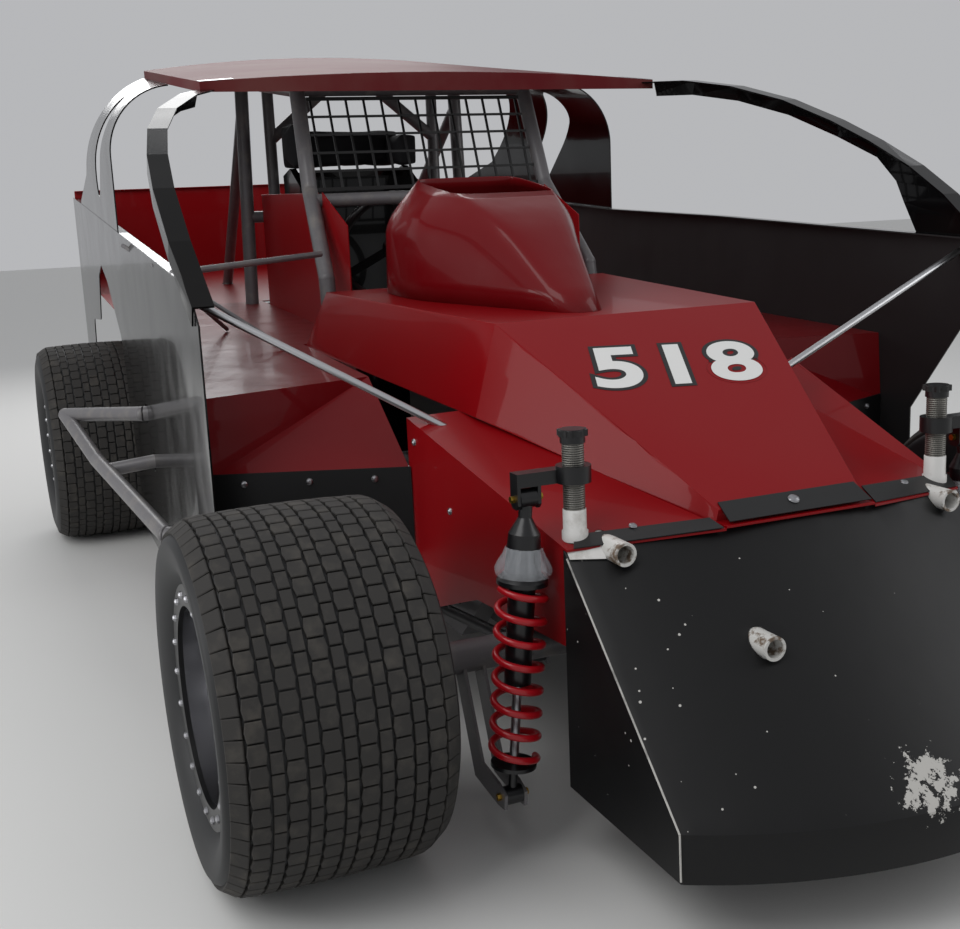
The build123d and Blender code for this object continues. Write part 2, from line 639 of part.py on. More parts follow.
def roll_cage():
    """Welded cage: windscreen pillars, main hoop, inner posts, roof bars, rear stays and column hanger."""
    main, braces = [], []
    dash, belt = [], []
    for side in (-1, 1):
        pillar, hoop, stay = cage_lines(side)
        main.append([*pillar, *reversed(hoop)])
        braces.append(stay)
        inner_top = (side * INNER_POST_X, HOOP_TOP[1], HOOP_TOP[2])
        braces.append([inner_top, (side * INNER_POST_X, HOOP_TOP[1], BELT_Z)])
        braces.append([(side * 60, HOOP_TOP[1], HOOP_TOP[2]),
                       (side * INNER_POST_X, HOOP_TOP[1], HOOP_TOP[2] - 190)])
        dash.append(at_height(*pillar[1:3], DASH_Z))
        belt.append(at_height(*hoop, BELT_Z))
    for x, y, z in (PILLAR_TOP, HOOP_TOP):
        braces.append([(-x, y, z), (x, y, z)])
    braces += [dash, belt]
    collar = column_place(-COLLAR_BACK) * Cylinder(COLLAR_R, 40)
    collar_y = WHEEL_HUB[0] - COLLAR_BACK * sin(radians(COLUMN_LEAN))
    collar_z = WHEEL_HUB[1] - COLLAR_BACK * cos(radians(COLUMN_LEAN))
    hanger = rod((SEAT_X, dash[0][1], dash[0][2]), (SEAT_X, collar_y, collar_z + COLLAR_R / 2), 10)
    column = column_place(-COLLAR_BACK) * Cylinder(COLUMN_R + RUNNING, 80)
    cage = frame_of(main, TUBE_R).fuse(frame_of(braces, BRACE_R), hanger, collar) - column
    feet = [(y, rail_z(y)) for y in (PILLAR_FOOT[1], HOOP_FOOT[1])]
    seats = [rod((-900, y, z), (900, y, z), CROSS_R + SEAT_GAP) for y, z in feet]
    below = [block((-900, y - 90, 0), (900, y + 90, z)) for y, z in feet]
    rail_top = rail_z(STAY_FOOT[1]) + RAIL_TALL / 2 + SEAT_GAP
    seats.append(block((-900, STAY_FOOT[1] - 120, 0), (900, STAY_FOOT[1] + 120, rail_top)))
    return cage.cut(*seats, *below)


def hood_top_z(y):
    """Height of the hood's top behind its break."""
    (_, _, low, _, _), (_, _, high, _, _) = HOOD_SECTIONS[1:]
    return low + (high - low) * (y - HOOD_BREAK_Y) / (HOOD_REAR_Y - HOOD_BREAK_Y)


def hood_volume(inset):
    """Solid through the hood's sections, drawn in by the inset."""
    def section(y, top_half, top_z, foot_half, foot_z):
        corners = [(-foot_half + inset, foot_z - 2 * inset), (-top_half + inset, top_z - inset),
                   (top_half - inset, top_z - inset), (foot_half - inset, foot_z - 2 * inset)]
        return Face(Wire.make_polygon([Vector(x, y, z) for x, z in corners], close=True))
    front, *rest = HOOD_SECTIONS
    return loft([section(front[0] + inset, *front[1:])] + [section(*row) for row in rest], ruled=True)


def hood():
    """Raised hood: sloping front panel, nearly level top and steep sides, open below."""
    front = HOOD_SECTIONS[0]
    lip = block((-front[3], HOOD_FRONT_Y - HOOD_LIP, front[4]),
                (front[3], HOOD_FRONT_Y + 2 * PANEL, front[4] + PANEL))
    return (hood_volume(0) - hood_volume(PANEL)).fuse(lip)


# Cowl scoop: middle, then half width and distance behind the axle at the rear, the shoulder and the tip
SCOOP_X = -72.5
SCOOP_FOOT = [(225.0, 1120.0), (225.0, 830.0), (42.5, 355.0)]
SCOOP_WAIST = [(225.0, 1100.0), (217.5, 840.0), (92.5, 620.0)]
SCOOP_RIM = [(142.5, 1040.0), (142.5, 860.0), (132.5, 760.0)]
SCOOP_WAIST_Z = 1130.0
SCOOP_RIM_Z = (1187.0, 1232.0)


def scoop():
    """Cowl scoop on the hood ahead of the driver: six-sided hump that rises from a tip, open on top."""
    def rim_z(y):
        low, high = SCOOP_RIM_Z
        return low + (high - low) * (y - SCOOP_RIM[2][1]) / (SCOOP_RIM[0][1] - SCOOP_RIM[2][1])

    def section(rows, height, inset, lift):
        (h0, y0), (h1, y1), (h2, y2) = rows
        half = [(h0 - inset, y0 - inset), (h1 - inset, y1), (h2 - inset, y2 + inset)]
        ring = [(SCOOP_X + h, y) for h, y in half] + [(SCOOP_X - h, y) for h, y in reversed(half)]
        return Face(Wire.make_polygon([Vector(x, y, height(y) + lift) for x, y in ring], close=True))

    def hump(inset, lift):
        return loft([section(SCOOP_FOOT, lambda y: hood_top_z(y) + SEAT_GAP, inset, -lift),
                     section(SCOOP_WAIST, lambda y: SCOOP_WAIST_Z, inset, 0),
                     section(SCOOP_RIM, rim_z, inset, lift)], ruled=True)
    return hump(0, 0) - hump(PANEL, 2 * PANEL)


def front_holes():
    """Clearance round the bumper sockets and the posts where they pass through the panels."""
    x, y, z = UPPER_SOCKET
    holes = [rod((s * x, -900, z), (s * x, POST[1] + 12, z), SOCKET_R + TUBE_HOLE_GAP) for s in (-1, 1)]
    x, y, z = LOWER_SOCKET
    holes.append(rod((-x, -900, z), (-x, 0, z), SOCKET_R + TUBE_HOLE_GAP))
    for s in (-1, 1):
        holes.append(rod((s * POST[0], POST[1], 400), (s * POST[0], POST[1], 700),
                         POST_R + POST_SLEEVE + TUBE_HOLE_GAP))
    return holes


def nose():
    """Nose panel: sloping front bowed forward, upright lip, two side walls, open behind."""
    def section(z, corner, middle, inset):
        half = NOSE_HALF - inset
        arc = ThreePointArc((-half, corner + 1.3 * inset), (0, -middle + 1.4 * inset),
                            (half, corner + 1.3 * inset))
        back = Polyline((half, corner + 1.3 * inset), (half, 0), (-half, 0), (-half, corner + 1.3 * inset))
        return Plane.XY.offset(z) * make_face([arc, back])
    outer = loft([section(z, c, m, 0) for z, c, m in NOSE_SECTIONS], ruled=True)
    inner = loft([section(z, c, m, PANEL) for z, c, m in NOSE_SECTIONS], ruled=True)
    back = block((-900, NOSE_BACK_Y, 0), (900, 400, 900))
    top_z = HOOD_SECTIONS[0][4] - SEAT_GAP
    half = HOOD_SECTIONS[0][3]
    corner_z, shelf_z = NOSE_TOP_CORNER_Z - PANEL - SEAT_GAP, top_z - PANEL
    trim = make_face(Polyline((-900, corner_z), (-NOSE_HALF, corner_z), (-half, shelf_z), (-half, top_z),
                              (half, top_z),
                              (half, shelf_z), (NOSE_HALF, corner_z), (900, corner_z),
                              (900, 900), (-900, 900), close=True))
    above = Pos(0, 100, 0) * extrude(Plane.XZ * trim, 900)
    return (outer - inner - back - above).cut(*front_holes())


def cage_holes():
    """Clearance round the cage tubes where they pass through the decks."""
    lines = [line for side in (-1, 1) for line in cage_lines(side)]
    return [rod(a, b, TUBE_R + TUBE_HOLE_GAP) for line in lines for a, b in zip(line, line[1:])]


def deck_edge(y):
    """Outer edge of the decks, just inside the side panel."""
    return side_x(y) - PANEL - 2 * SEAT_GAP


def side_deck():
    """Right side deck: level part beside the cockpit and the face that drops in front."""
    b, c = DECK_BEND_OUT_Y, DECK_BEND_IN_Y
    corners = {
        "lip_out": (-deck_edge(b), b - 13, DECK_LIP_Z), "lip_in": (-DECK_IN_X, 380, DECK_LIP_Z),
        "bend_out": (-deck_edge(b), b, deck_z(b)), "bend_in": (-DECK_IN_X, c, deck_z(c)),
        "hood_end": (-DECK_IN_X, HOOD_REAR_Y + SEAT_GAP, deck_z(HOOD_REAR_Y)),
        "pit_front": (-COCKPIT_X - PANEL - SEAT_GAP, HOOD_REAR_Y + SEAT_GAP, deck_z(HOOD_REAR_Y)),
        "pit_rear": (-COCKPIT_X - PANEL - SEAT_GAP, DECK_SPLIT_Y, deck_z(DECK_SPLIT_Y)),
        "rear_out": (-deck_edge(DECK_SPLIT_Y), DECK_SPLIT_Y, deck_z(DECK_SPLIT_Y)),
        "hood_out": (-deck_edge(HOOD_REAR_Y), HOOD_REAR_Y + SEAT_GAP, deck_z(HOOD_REAR_Y)),
    }
    level = folded(corners, [("bend_out", "bend_in", "hood_end"), ("bend_out", "hood_end", "hood_out"),
                             ("hood_out", "hood_end", "rear_out"), ("hood_end", "pit_front", "pit_rear"),
                             ("hood_end", "pit_rear", "rear_out")], (0, 0, -PANEL))
    face = folded(corners, [("lip_out", "lip_in", "bend_in"), ("lip_out", "bend_in", "bend_out")],
                  (0, PANEL, 0))
    return level.fuse(face).cut(*cage_holes())


def centre_corners(side):
    """Corners of one half of the centre body below the hood, drawn at the right."""
    front, middle, rear = HOOD_SECTIONS
    in_y, out_y = 371, 392
    wall_y, bend_y, wall_x = NOSE_BACK_Y + SEAT_GAP, 110, -DECK_IN_X + SEAT_GAP
    k = (in_y - HOOD_BREAK_Y) / (HOOD_REAR_Y - HOOD_BREAK_Y)
    t = (bend_y - wall_y) / (out_y - wall_y)
    return {
        "front_in": (-front[3] - SEAT_GAP, HOOD_FRONT_Y - HOOD_LIP, front[4]),
        "front_out": (-NOSE_HALF, NOSE_BACK_Y - 14, NOSE_TOP_CORNER_Z),
        "rear_in": (-(middle[3] + k * (rear[3] - middle[3])) - SEAT_GAP, in_y,
                    middle[4] + k * (rear[4] - middle[4])),
        "rear_out": (wall_x, out_y, SHELF_REAR_Z[side]),
        "wall_front": (-NOSE_HALF, wall_y, NOSE_TOP_CORNER_Z),
        "low_front": (-NOSE_HALF, wall_y, 400), "low_rear": (wall_x, out_y, 300),
        "low_bend": (-NOSE_HALF + t * (NOSE_HALF + wall_x), bend_y, 400),
    }


SHELF_REAR_Z = {"right": 728.0, "left": 770.0}


SHELF_FACETS = [("front_in", "front_out", "rear_in"), ("front_out", "rear_out", "rear_in")]


def centre_panels(side):
    """One half of the centre body below the hood: flat shelf and upright side."""
    corners = centre_corners(side)
    shelf = folded(corners, SHELF_FACETS, (0, 0, -PANEL))
    wall = folded(corners, [("wall_front", "low_front", "low_bend", "low_rear", "rear_out")], (PANEL, 0, 0))
    return shelf.fuse(wall).cut(*front_holes())


def skirt():
    """Black plastic skirt that hangs below the front of the right side deck."""
    b = DECK_BEND_OUT_Y
    back = SEAT_GAP + 0.05
    corners = {"a": (-deck_edge(b) + 2, b - 13 - back, DECK_LIP_Z + 12),
               "b": (-DECK_IN_X - 1, 380 - back, DECK_LIP_Z + 12),
               "c": (-DECK_IN_X - 1, 380 - back, 430), "d": (-deck_edge(b) + 2, b - 13 - back, 430)}
    return folded(corners, [("a", "b", "c", "d")], (0, -PANEL / 2, 0))


def side_plane():
    """Plane of the right side panel: X rearwards, Y up, its normal into the car."""
    a = radians(SIDE_YAW)
    return Plane(origin=(-SIDE_FRONT_X, SIDE_FRONT_Y, 0), x_dir=(sin(a), cos(a), 0),
                 z_dir=(cos(a), -sin(a), 0))


WHEEL_OPENING = [(1920, 150), (2010, 480), (2130, 790), (2450, 955), (2640, 1005),
                 (2770, 965), (2905, 790), (3240, 770), (3330, 560), (3330, 150)]
# Side rails: runs of the hoop and of its middle tube, as half width, distance, height
NERF_R = 21.0
NERF_HOLE_GAP = 9.0
NERF_IN_X = 700.0
NERF_HOOP = [(NERF_IN_X, 1520.0, 615.0), (880.0, 1574.0, 615.0), (1058.0, 2010.0, 570.0),
             (1012.0, 1640.0, 484.0),
             (940.0, 900.0, 420.0), (872.0, 830.0, 414.0), (NERF_IN_X, 810.0, 414.0)]
NERF_MID = [(1000.0, 1520.0, 473.0), (NERF_IN_X, 1470.0, 507.0)]


def panel_local(points):
    """Points given as distance behind the axle and height, in the side panel's own plane."""
    return [((y - SIDE_FRONT_Y) / cos(radians(SIDE_YAW)), z) for y, z in points]


def side_panel(side):
    """Side panel with its wheel opening and the flange along its top, drawn at the right."""
    outline = panel_local([(SIDE_FRONT_Y, SIDE_SILL_Z), *SIDE_NOSE[side], *SIDE_TOP[side],
                           (SIDE_REAR_Y, SIDE_TAIL_Z), (3330, 560), (3200, SIDE_SILL_Z)])
    plane = side_plane()
    sheet = extrude(plane * make_face(Polyline(*outline, close=True)), PANEL)
    opening = make_face(Polyline(*panel_local(WHEEL_OPENING), close=True))
    opening = fillet([v for v in opening.vertices() if v.Y > 400], 40)
    cut = plane.offset(-50) * opening
    sheet = sheet - extrude(cut, 150)
    last_y = TAIL_Y - TAIL_LIP - 1
    ends = [y for y, _ in SIDE_TOP[side][:-1]] + [last_y]
    top = [(y, side_top_z(y, side)) for y in ends]
    strip = panel_local(top + [(y, z - PANEL) for y, z in reversed(top)])
    flange = extrude(plane * make_face(Polyline(*strip, close=True)), SIDE_FLANGE)
    holes = [rod((-a[0], *a[1:]), (-b[0], *b[1:]), NERF_R + NERF_HOLE_GAP)
             for a, b in (NERF_HOOP[:2], NERF_MID, NERF_HOOP[4:6], NERF_HOOP[5:7])]
    holes += [Pos(-x, y, z) * Sphere(NERF_R + NERF_HOLE_GAP + 3) for x, y, z in (NERF_HOOP[1], NERF_HOOP[5])]
    return (sheet + flange).cut(*holes)


def panel_room(side):
    """Room of a side panel and its flange, with the seat gap round it, drawn at the right."""
    rise = [(y, z + SEAT_GAP) for y, z in SIDE_TOP[side]]
    front = rise[0][0] - SEAT_GAP
    outline = panel_local([(front, 0), (front, rise[0][1]), *rise[1:], (SIDE_REAR_Y, 0)])
    return extrude(side_plane().offset(-SEAT_GAP) * make_face(Polyline(*outline, close=True)),
                   2 * SIDE_FLANGE)


def sail():
    """Right sail: upright on the side panel and curved in to the roof's edge, with a long window."""
    def section(y):
        base_x, base_z = side_x(y) - 2, side_top_z(y) + SEAT_GAP
        top_x = roof_half(y) - 2
        top_z = roof_z(y) - ROOF_LIP - 2 * SEAT_GAP
        lines = []
        for inset in (0, PANEL):
            low, high = (-base_x + inset, base_z), (-top_x, top_z - inset)
            bend = (-base_x + inset, SAIL_BEND_Z - inset * 0.3)
            mid = ((low[0] + high[0]) / 2 - 48, (bend[1] + high[1]) / 2 + 30 - inset * 0.6)
            lines.append((low, bend, mid, high))
        (l0, b0, m0, h0), (l1, b1, m1, h1) = lines
        edges = [Line(l0, b0), ThreePointArc(b0, m0, h0), Line(h0, h1), ThreePointArc(h1, m1, b1),
                 Line(b1, l1), Line(l1, l0)]
        return Plane(origin=(0, y, 0), x_dir=(1, 0, 0), z_dir=(0, -1, 0)) * make_face(edges)
    shell = loft([section(SAIL_FRONT_Y - 40), section(SAIL_REAR_Y)], ruled=True)
    outline = make_face(Polyline((SAIL_FRONT_Y, 900), (SAIL_FRONT_Y, 1700), (2480, 1700), (2560, 1560),
                                 (2900, 1330),
                                 (SAIL_REAR_Y - 10, side_top_z(SAIL_REAR_Y - 10) + 12),
                                 (SAIL_REAR_Y - 10, 900), close=True))
    keep = Plane.YZ.offset(-1000) * outline
    window = Plane.YZ.offset(-1000) * Pos(2330, 1395) * Rot(Z=-42) * SlotOverall(400, 130)
    return (shell & extrude(keep, 1000)) - extrude(window, 1000)


def roof():
    """Crowned roof sheet that rises rearwards, with its lips turned down."""
    def section(y, half, z, crown):
        edges = [ThreePointArc((-half, z), (0, z + crown), (half, z)), Line((half, z), (half, z - ROOF_LIP)),
                 Line((half, z - ROOF_LIP), (-half, z - ROOF_LIP)), Line((-half, z - ROOF_LIP), (-half, z))]
        return Plane(origin=(0, y, 0), x_dir=(1, 0, 0), z_dir=(0, -1, 0)) * make_face(edges)

    def volume(inset, back, drop):
        rows = [(ROOF_FRONT_Y + inset, ROOF_FRONT_HALF, ROOF_FRONT_Z, ROOF_CROWN_FRONT),
                (ROOF_REAR_Y + back, ROOF_REAR_HALF, ROOF_REAR_Z, ROOF_CROWN_REAR)]
        return loft([section(y, half - inset, z - inset - drop, crown) for y, half, z, crown in rows],
                    ruled=True)
    return volume(0, 0, 0) - volume(PANEL, 20, 0) - volume(PANEL, 20, ROOF_LIP)


# Roof pillars from the roof's corner down to the side panel: half width, distance behind the axle and height
# of the outer edge, then distance and height of the upright web's lower edge
PILLAR_ROWS = {
    "right": [(684.0, 1352.0, 1488.0, 1375.0, 1448.0), (760.0, 1215.0, 1464.0, 1238.0, 1424.0),
              (838.0, 1080.0, 1420.0, 1103.0, 1380.0), (888.0, 940.0, 1364.0, 963.0, 1324.0),
              (916.0, 800.0, 1300.0, 823.0, 1260.0), (927.0, 690.0, 1225.0, 713.0, 1185.0),
              (924.0, 570.0, 1115.0, 593.0, 1075.0), (905.7, 470.0, 985.0, 493.0, 945.0)],
    "left": [(684.0, 1352.0, 1500.0, 1375.0, 1460.0), (750.0, 1205.0, 1490.0, 1220.0, 1450.0),
             (815.0, 1060.0, 1460.0, 1080.0, 1420.0), (870.0, 890.0, 1407.0, 915.0, 1367.0),
             (903.0, 722.0, 1339.0, 745.0, 1297.0), (915.0, 582.0, 1278.0, 600.0, 1236.0),
             (916.0, 434.0, 1209.0, 525.0, 1174.0), (915.0, 313.0, 1138.0, 490.0, 1120.0),
             (914.0, 205.0, 1055.0, 440.0, 1046.0), (914.0, 200.0, 1026.0, 436.0, 1026.0)],
}
PILLAR_WIDE = 46.0


def roof_pillar(side):
    """Roof pillar, drawn at the right: angle bowed out from the roof's corner to the side panel's top."""
    corners, flat, upright = {}, [], []
    for i, (x, y, z, web_y, web_z) in enumerate(PILLAR_ROWS[side]):
        corners["edge", i] = (-x, y, z)
        corners["in", i] = (-x + PILLAR_WIDE, y, z)
        corners["down", i] = (-x + (web_y - y) * tan(radians(SIDE_YAW)), web_y, web_z)
        if i:
            last = i - 1
            flat += [(("edge", last), ("edge", i), ("in", last)), (("in", last), ("edge", i), ("in", i))]
            upright += [(("edge", last), ("edge", i), ("down", last)),
                        (("down", last), ("edge", i), ("down", i))]
    angle = folded(corners, flat, (0, PANEL * 0.6, -PANEL)).fuse(folded(corners, upright, (PANEL, 0, 0)))
    return angle - block((-1200, ROOF_FRONT_Y - SEAT_GAP, 1300), (1200, 1500, 1700)) - panel_room(side)


def tail_panel():
    """Upright panel across the tail, with a rolled top edge."""
    y = TAIL_Y
    x = deck_edge(y + PANEL)
    z0 = deck_z(DECK_REAR_Y) + SEAT_GAP
    sheet = block((-x, y, z0 - 60), (x, y + PANEL, TAIL_TOP_Z))
    lip = block((-x, y - TAIL_LIP, TAIL_TOP_Z - PANEL), (x, y + PANEL, TAIL_TOP_Z))
    return sheet + lip


def rear_deck():
    """Deck behind the cockpit, across the whole body."""
    a, b = DECK_SPLIT_Y + SEAT_GAP, DECK_REAR_Y
    corners = {"fl": (-deck_edge(a), a, deck_z(a)), "fr": (deck_edge(a), a, deck_z(a)),
               "rr": (deck_edge(b), b, deck_z(b)), "rl": (-deck_edge(b), b, deck_z(b))}
    return folded(corners, [("fl", "fr", "rr", "rl")], (0, 0, -PANEL)).cut(*cage_holes())


def cockpit_panel():
    """Right wall of the cockpit, from the deck to the elbow line."""
    outline = [(HOOD_REAR_Y + SEAT_GAP, 640), (HOOD_REAR_Y + SEAT_GAP, 1120), (1420, 1212), (2150, 1222),
               (2150, 640)]
    tube_y, half = at_height(PILLAR_DECK, PILLAR_KNEE, DASH_Z)[1], BRACE_R + TUBE_HOLE_GAP
    slot = block((-500, tube_y - half, DASH_Z), (0, tube_y + half, DASH_Z + 100))
    return plate_yz(outline, -COCKPIT_X - PANEL,
                    PANEL).cut(rod((-500, tube_y, DASH_Z), (0, tube_y, DASH_Z), half), slot)


def seat():
    """Bucket seat: base, back and side wings as one shell."""
    outline = [(1620, 405), (1620, 600), (1860, 700), (1930, 1240), (2040, 1300), (2130, 1280), (2060, 405)]
    hollow = [(1600, 435), (1600, 800), (1840, 900), (1900, 1400), (2080, 1400), (2095, 1270), (2030, 500),
              (1970, 440)]
    shell = plate_yz(outline, SEAT_X - SEAT_HALF, 2 * SEAT_HALF)
    room = plate_yz(hollow, SEAT_X - SEAT_HALF + 22, 2 * SEAT_HALF - 44)
    return shell - room


def headrest():
    """Padded head surround above the seat's back."""
    back = block((SEAT_X - 190, 2075, 1300 + SEAT_GAP), (SEAT_X + 190, 2150, 1420))
    wing = block((SEAT_X - 215, 1960, 1300 + SEAT_GAP), (SEAT_X - 150, 2100, 1440))
    other = block((SEAT_X + 150, 1960, 1300 + SEAT_GAP), (SEAT_X + 215, 2100, 1400))
    return back.fuse(wing, other)


BODY_BRACE_R = 8.0
GUARD_WIRE = 6.0
GUARD_FRAME_WIRE = 10.0
GUARD_LOW_Z = DASH_Z + BRACE_R + 12
GUARD_HIGH_Z = PILLAR_TOP[2] - BRACE_R - 8
GUARD_COLUMNS = 13
GUARD_ROWS = 6


def bar(start, end, size):
    """Square bar between two points."""
    a, b = Vector(*start), Vector(*end)
    return extrude(Plane(origin=a, z_dir=(b - a).normalized()) * Rectangle(size, size), (b - a).length)


def window_guard():
    """Wire guard between the windscreen pillars."""
    bars = []
    for i in range(GUARD_ROWS):
        x, y, z = at_height(PILLAR_KNEE, PILLAR_TOP,
                            GUARD_LOW_Z + (GUARD_HIGH_Z - GUARD_LOW_Z) * i / (GUARD_ROWS - 1))
        size = GUARD_FRAME_WIRE if i in (0, GUARD_ROWS - 1) else GUARD_WIRE + 1
        half = x - TUBE_R - 3 * SEAT_GAP
        bars.append(bar((-half, y, z), (half, y, z), size))
    low = at_height(PILLAR_KNEE, PILLAR_TOP, GUARD_LOW_Z)
    high = at_height(PILLAR_KNEE, PILLAR_TOP, GUARD_HIGH_Z)
    for i in range(GUARD_COLUMNS):
        x = (high[0] - TUBE_R - 12) * (2 * i / (GUARD_COLUMNS - 1) - 1)
        bars.append(bar((x, *low[1:]), (x, *high[1:]), GUARD_WIRE))
    return bars[0].fuse(*bars[1:])


def nerf_bar():
    """Right side rail: hoop that leaves the body, turns at its rear corner and comes back forward."""
    inner = RAIL_X + RAIL_WIDE / 2 + SEAT_GAP
    outer = frame_of([[(-x, y, z) for x, y, z in NERF_HOOP]], NERF_R)
    (x0, y0, z0), (x1, y1, z1) = NERF_MID
    mid = rod((-x0, y0, z0), (-x1, y1, z1), NERF_R - 2)
    top, front_end = NERF_HOOP[0], NERF_HOOP[-1]
    upright = rod((-top[0], top[1], rail_z(top[1])), (-top[0], top[1], top[2] + 30), NERF_R - 1)
    sill = rod((-top[0], top[1], rail_z(top[1])), (-inner, top[1], rail_z(top[1])), NERF_R - 2)
    foot = rod((-front_end[0], front_end[1], front_end[2] + 30),
               (-front_end[0], front_end[1], rail_z(front_end[1])), NERF_R - 1)
    front = rod((-front_end[0], front_end[1], rail_z(front_end[1])),
                (-inner, front_end[1], rail_z(front_end[1])), NERF_R - 2)
    return outer.fuse(mid, upright, sill, foot, front)


# Thin braces: upper end at the side panel, lower end on the shelf at the right and on the hood at the left
BODY_BRACES = {"right": ((912, 572, 1006), (413, 316, 700)), "left": ((914, 287, 1009), (300, 213, 757))}


def body_brace(side):
    """Thin rod from the side panel's top to the centre of the body, drawn at the right."""
    (x0, y0, z0), (x1, y1, z1) = BODY_BRACES[side]
    brace = rod((-x0, y0, z0), (-x1, y1, z1), BODY_BRACE_R)
    beyond = extrude(side_plane().offset(PANEL + SEAT_GAP) * Rectangle(8000, 4000), -200)
    raised = {name: (x, y, z + SEAT_GAP) for name, (x, y, z) in centre_corners(side).items()}
    hood_room = Pos(-SEAT_GAP * 1.2, 0, 0) * hood_volume(0)
    return brace - beyond - hood_room - folded(raised, SHELF_FACETS, (0, 0, -300))


def column_place(along):
    """Place on the steering column's line, at a distance from the wheel's hub, Z along the line."""
    return Pos(SEAT_X, *WHEEL_HUB) * Rot(X=-COLUMN_LEAN) * Pos(0, 0, along)


def steering_wheel():
    """Steering wheel, its column and the three spokes."""
    rim = Torus(170, 13)
    spokes = [Rot(Z=120 * i + 30) * Pos(85, 0, 0) * Box(170, 26, 8) for i in range(3)]
    column = Pos(0, 0, -COLUMN_LENGTH / 2) * Cylinder(COLUMN_R, COLUMN_LENGTH)
    return column_place(0) * rim.fuse(*spokes, Cylinder(32, 20), column)


def rear_axle():
    """Rear axle: centre casing with its cover, two tubes and the spindles."""
    z = REAR_TYRE_R
    tubes = rod((-690, 0, 0), (690, 0, 0), 38)
    case = block((-110, -150, -120), (110, 90, 130))
    cover = block((-90, 88, -110), (90, 150, 120))
    tips = both_sides(spindle(REAR_TRACK_HALF, SPINDLE_R, 680))
    x, y, foot_z = REAR_COIL_FOOT[0], REAR_COIL_FOOT[1] - WHEELBASE, REAR_COIL_FOOT[2] - z
    outline = [(-10, -30), (22, 10), (60, -66), (y + 6, foot_z + 22), (y + 18, foot_z + 8),
               (y + 14, foot_z - 20), (y - 14, foot_z - 22)]
    ears = eye_ears(-x, outline) + eye_ears(x, outline)
    lugs = [link_lug(side * LINK_REAR[0], LINK_REAR[1] - WHEELBASE, LINK_REAR[2] - z, 0, 0)
            for side in (-1, 1)]
    return Pos(0, WHEELBASE, z) * tubes.fuse(case, cover, *tips, *ears, *lugs)


def drive_shaft():
    """Torque tube from the gearbox to the rear axle."""
    return rod((0, 1350 + SEAT_GAP, REAR_TYRE_R), (0, WHEELBASE - 150 - SEAT_GAP, REAR_TYRE_R), 38)


def engine():
    """Engine and gearbox, one plain block between the rails."""
    half = RAIL_X - RAIL_WIDE / 2 - SEAT_GAP
    return block((-half, 380, 215), (half, 980, 700)).fuse(block((-130, 980, 230), (130, 1350, 480)))


def rear_bumper():
    """Rear bumper: two cross tubes with upright ends and two legs on each rail's end."""
    y = WHEELBASE + TAIL_BEHIND - BUMPER_R
    end = RAIL_LINE[-1][0] + SEAT_GAP
    low, high = BUMPER_Z
    tubes = [rod((-BUMPER_HALF, y, z), (BUMPER_HALF, y, z), BUMPER_R - 1) for z in (low, high)]
    for side in (-1, 1):
        tubes.append(rod((side * BUMPER_HALF, y, low - 25), (side * BUMPER_HALF, y, high + 25), BUMPER_R))
        for z, foot_z in ((low, rail_z(end) - 20), (high, rail_z(end) + 20)):
            tubes.append(rod((side * RAIL_X, end, foot_z), (side * RAIL_X, y, z), BUMPER_R - 4))
    return tubes[0].fuse(*tubes[1:]) - block((-900, WHEELBASE + 230, 0), (900, end, 900))


# Fuel cell: front and rear behind the rear axle, underside and top
FUEL_CELL_Y = (230.0, 650.0)
FUEL_CELL_Z = (330.0, 640.0)


def fuel_cell():
    """Fuel tank behind the rear axle, between the rails."""
    half = RAIL_X - RAIL_WIDE / 2 - SEAT_GAP
    front, rear = WHEELBASE + FUEL_CELL_Y[0], WHEELBASE + FUEL_CELL_Y[1]
    return block((-half, front, FUEL_CELL_Z[0]), (half, rear, FUEL_CELL_Z[1]))


def save(name, *solids):
    """Move a sub-part into the car's own frame and write it."""
    moved = [Pos(0, FRONT_AXLE_Y, 0) * s for s in solids]
    parts = [x for s in moved for x in s.solids()]
    export_step(Compound(children=parts) if len(parts) > 1 else parts[0], f"parts/{name}.step")


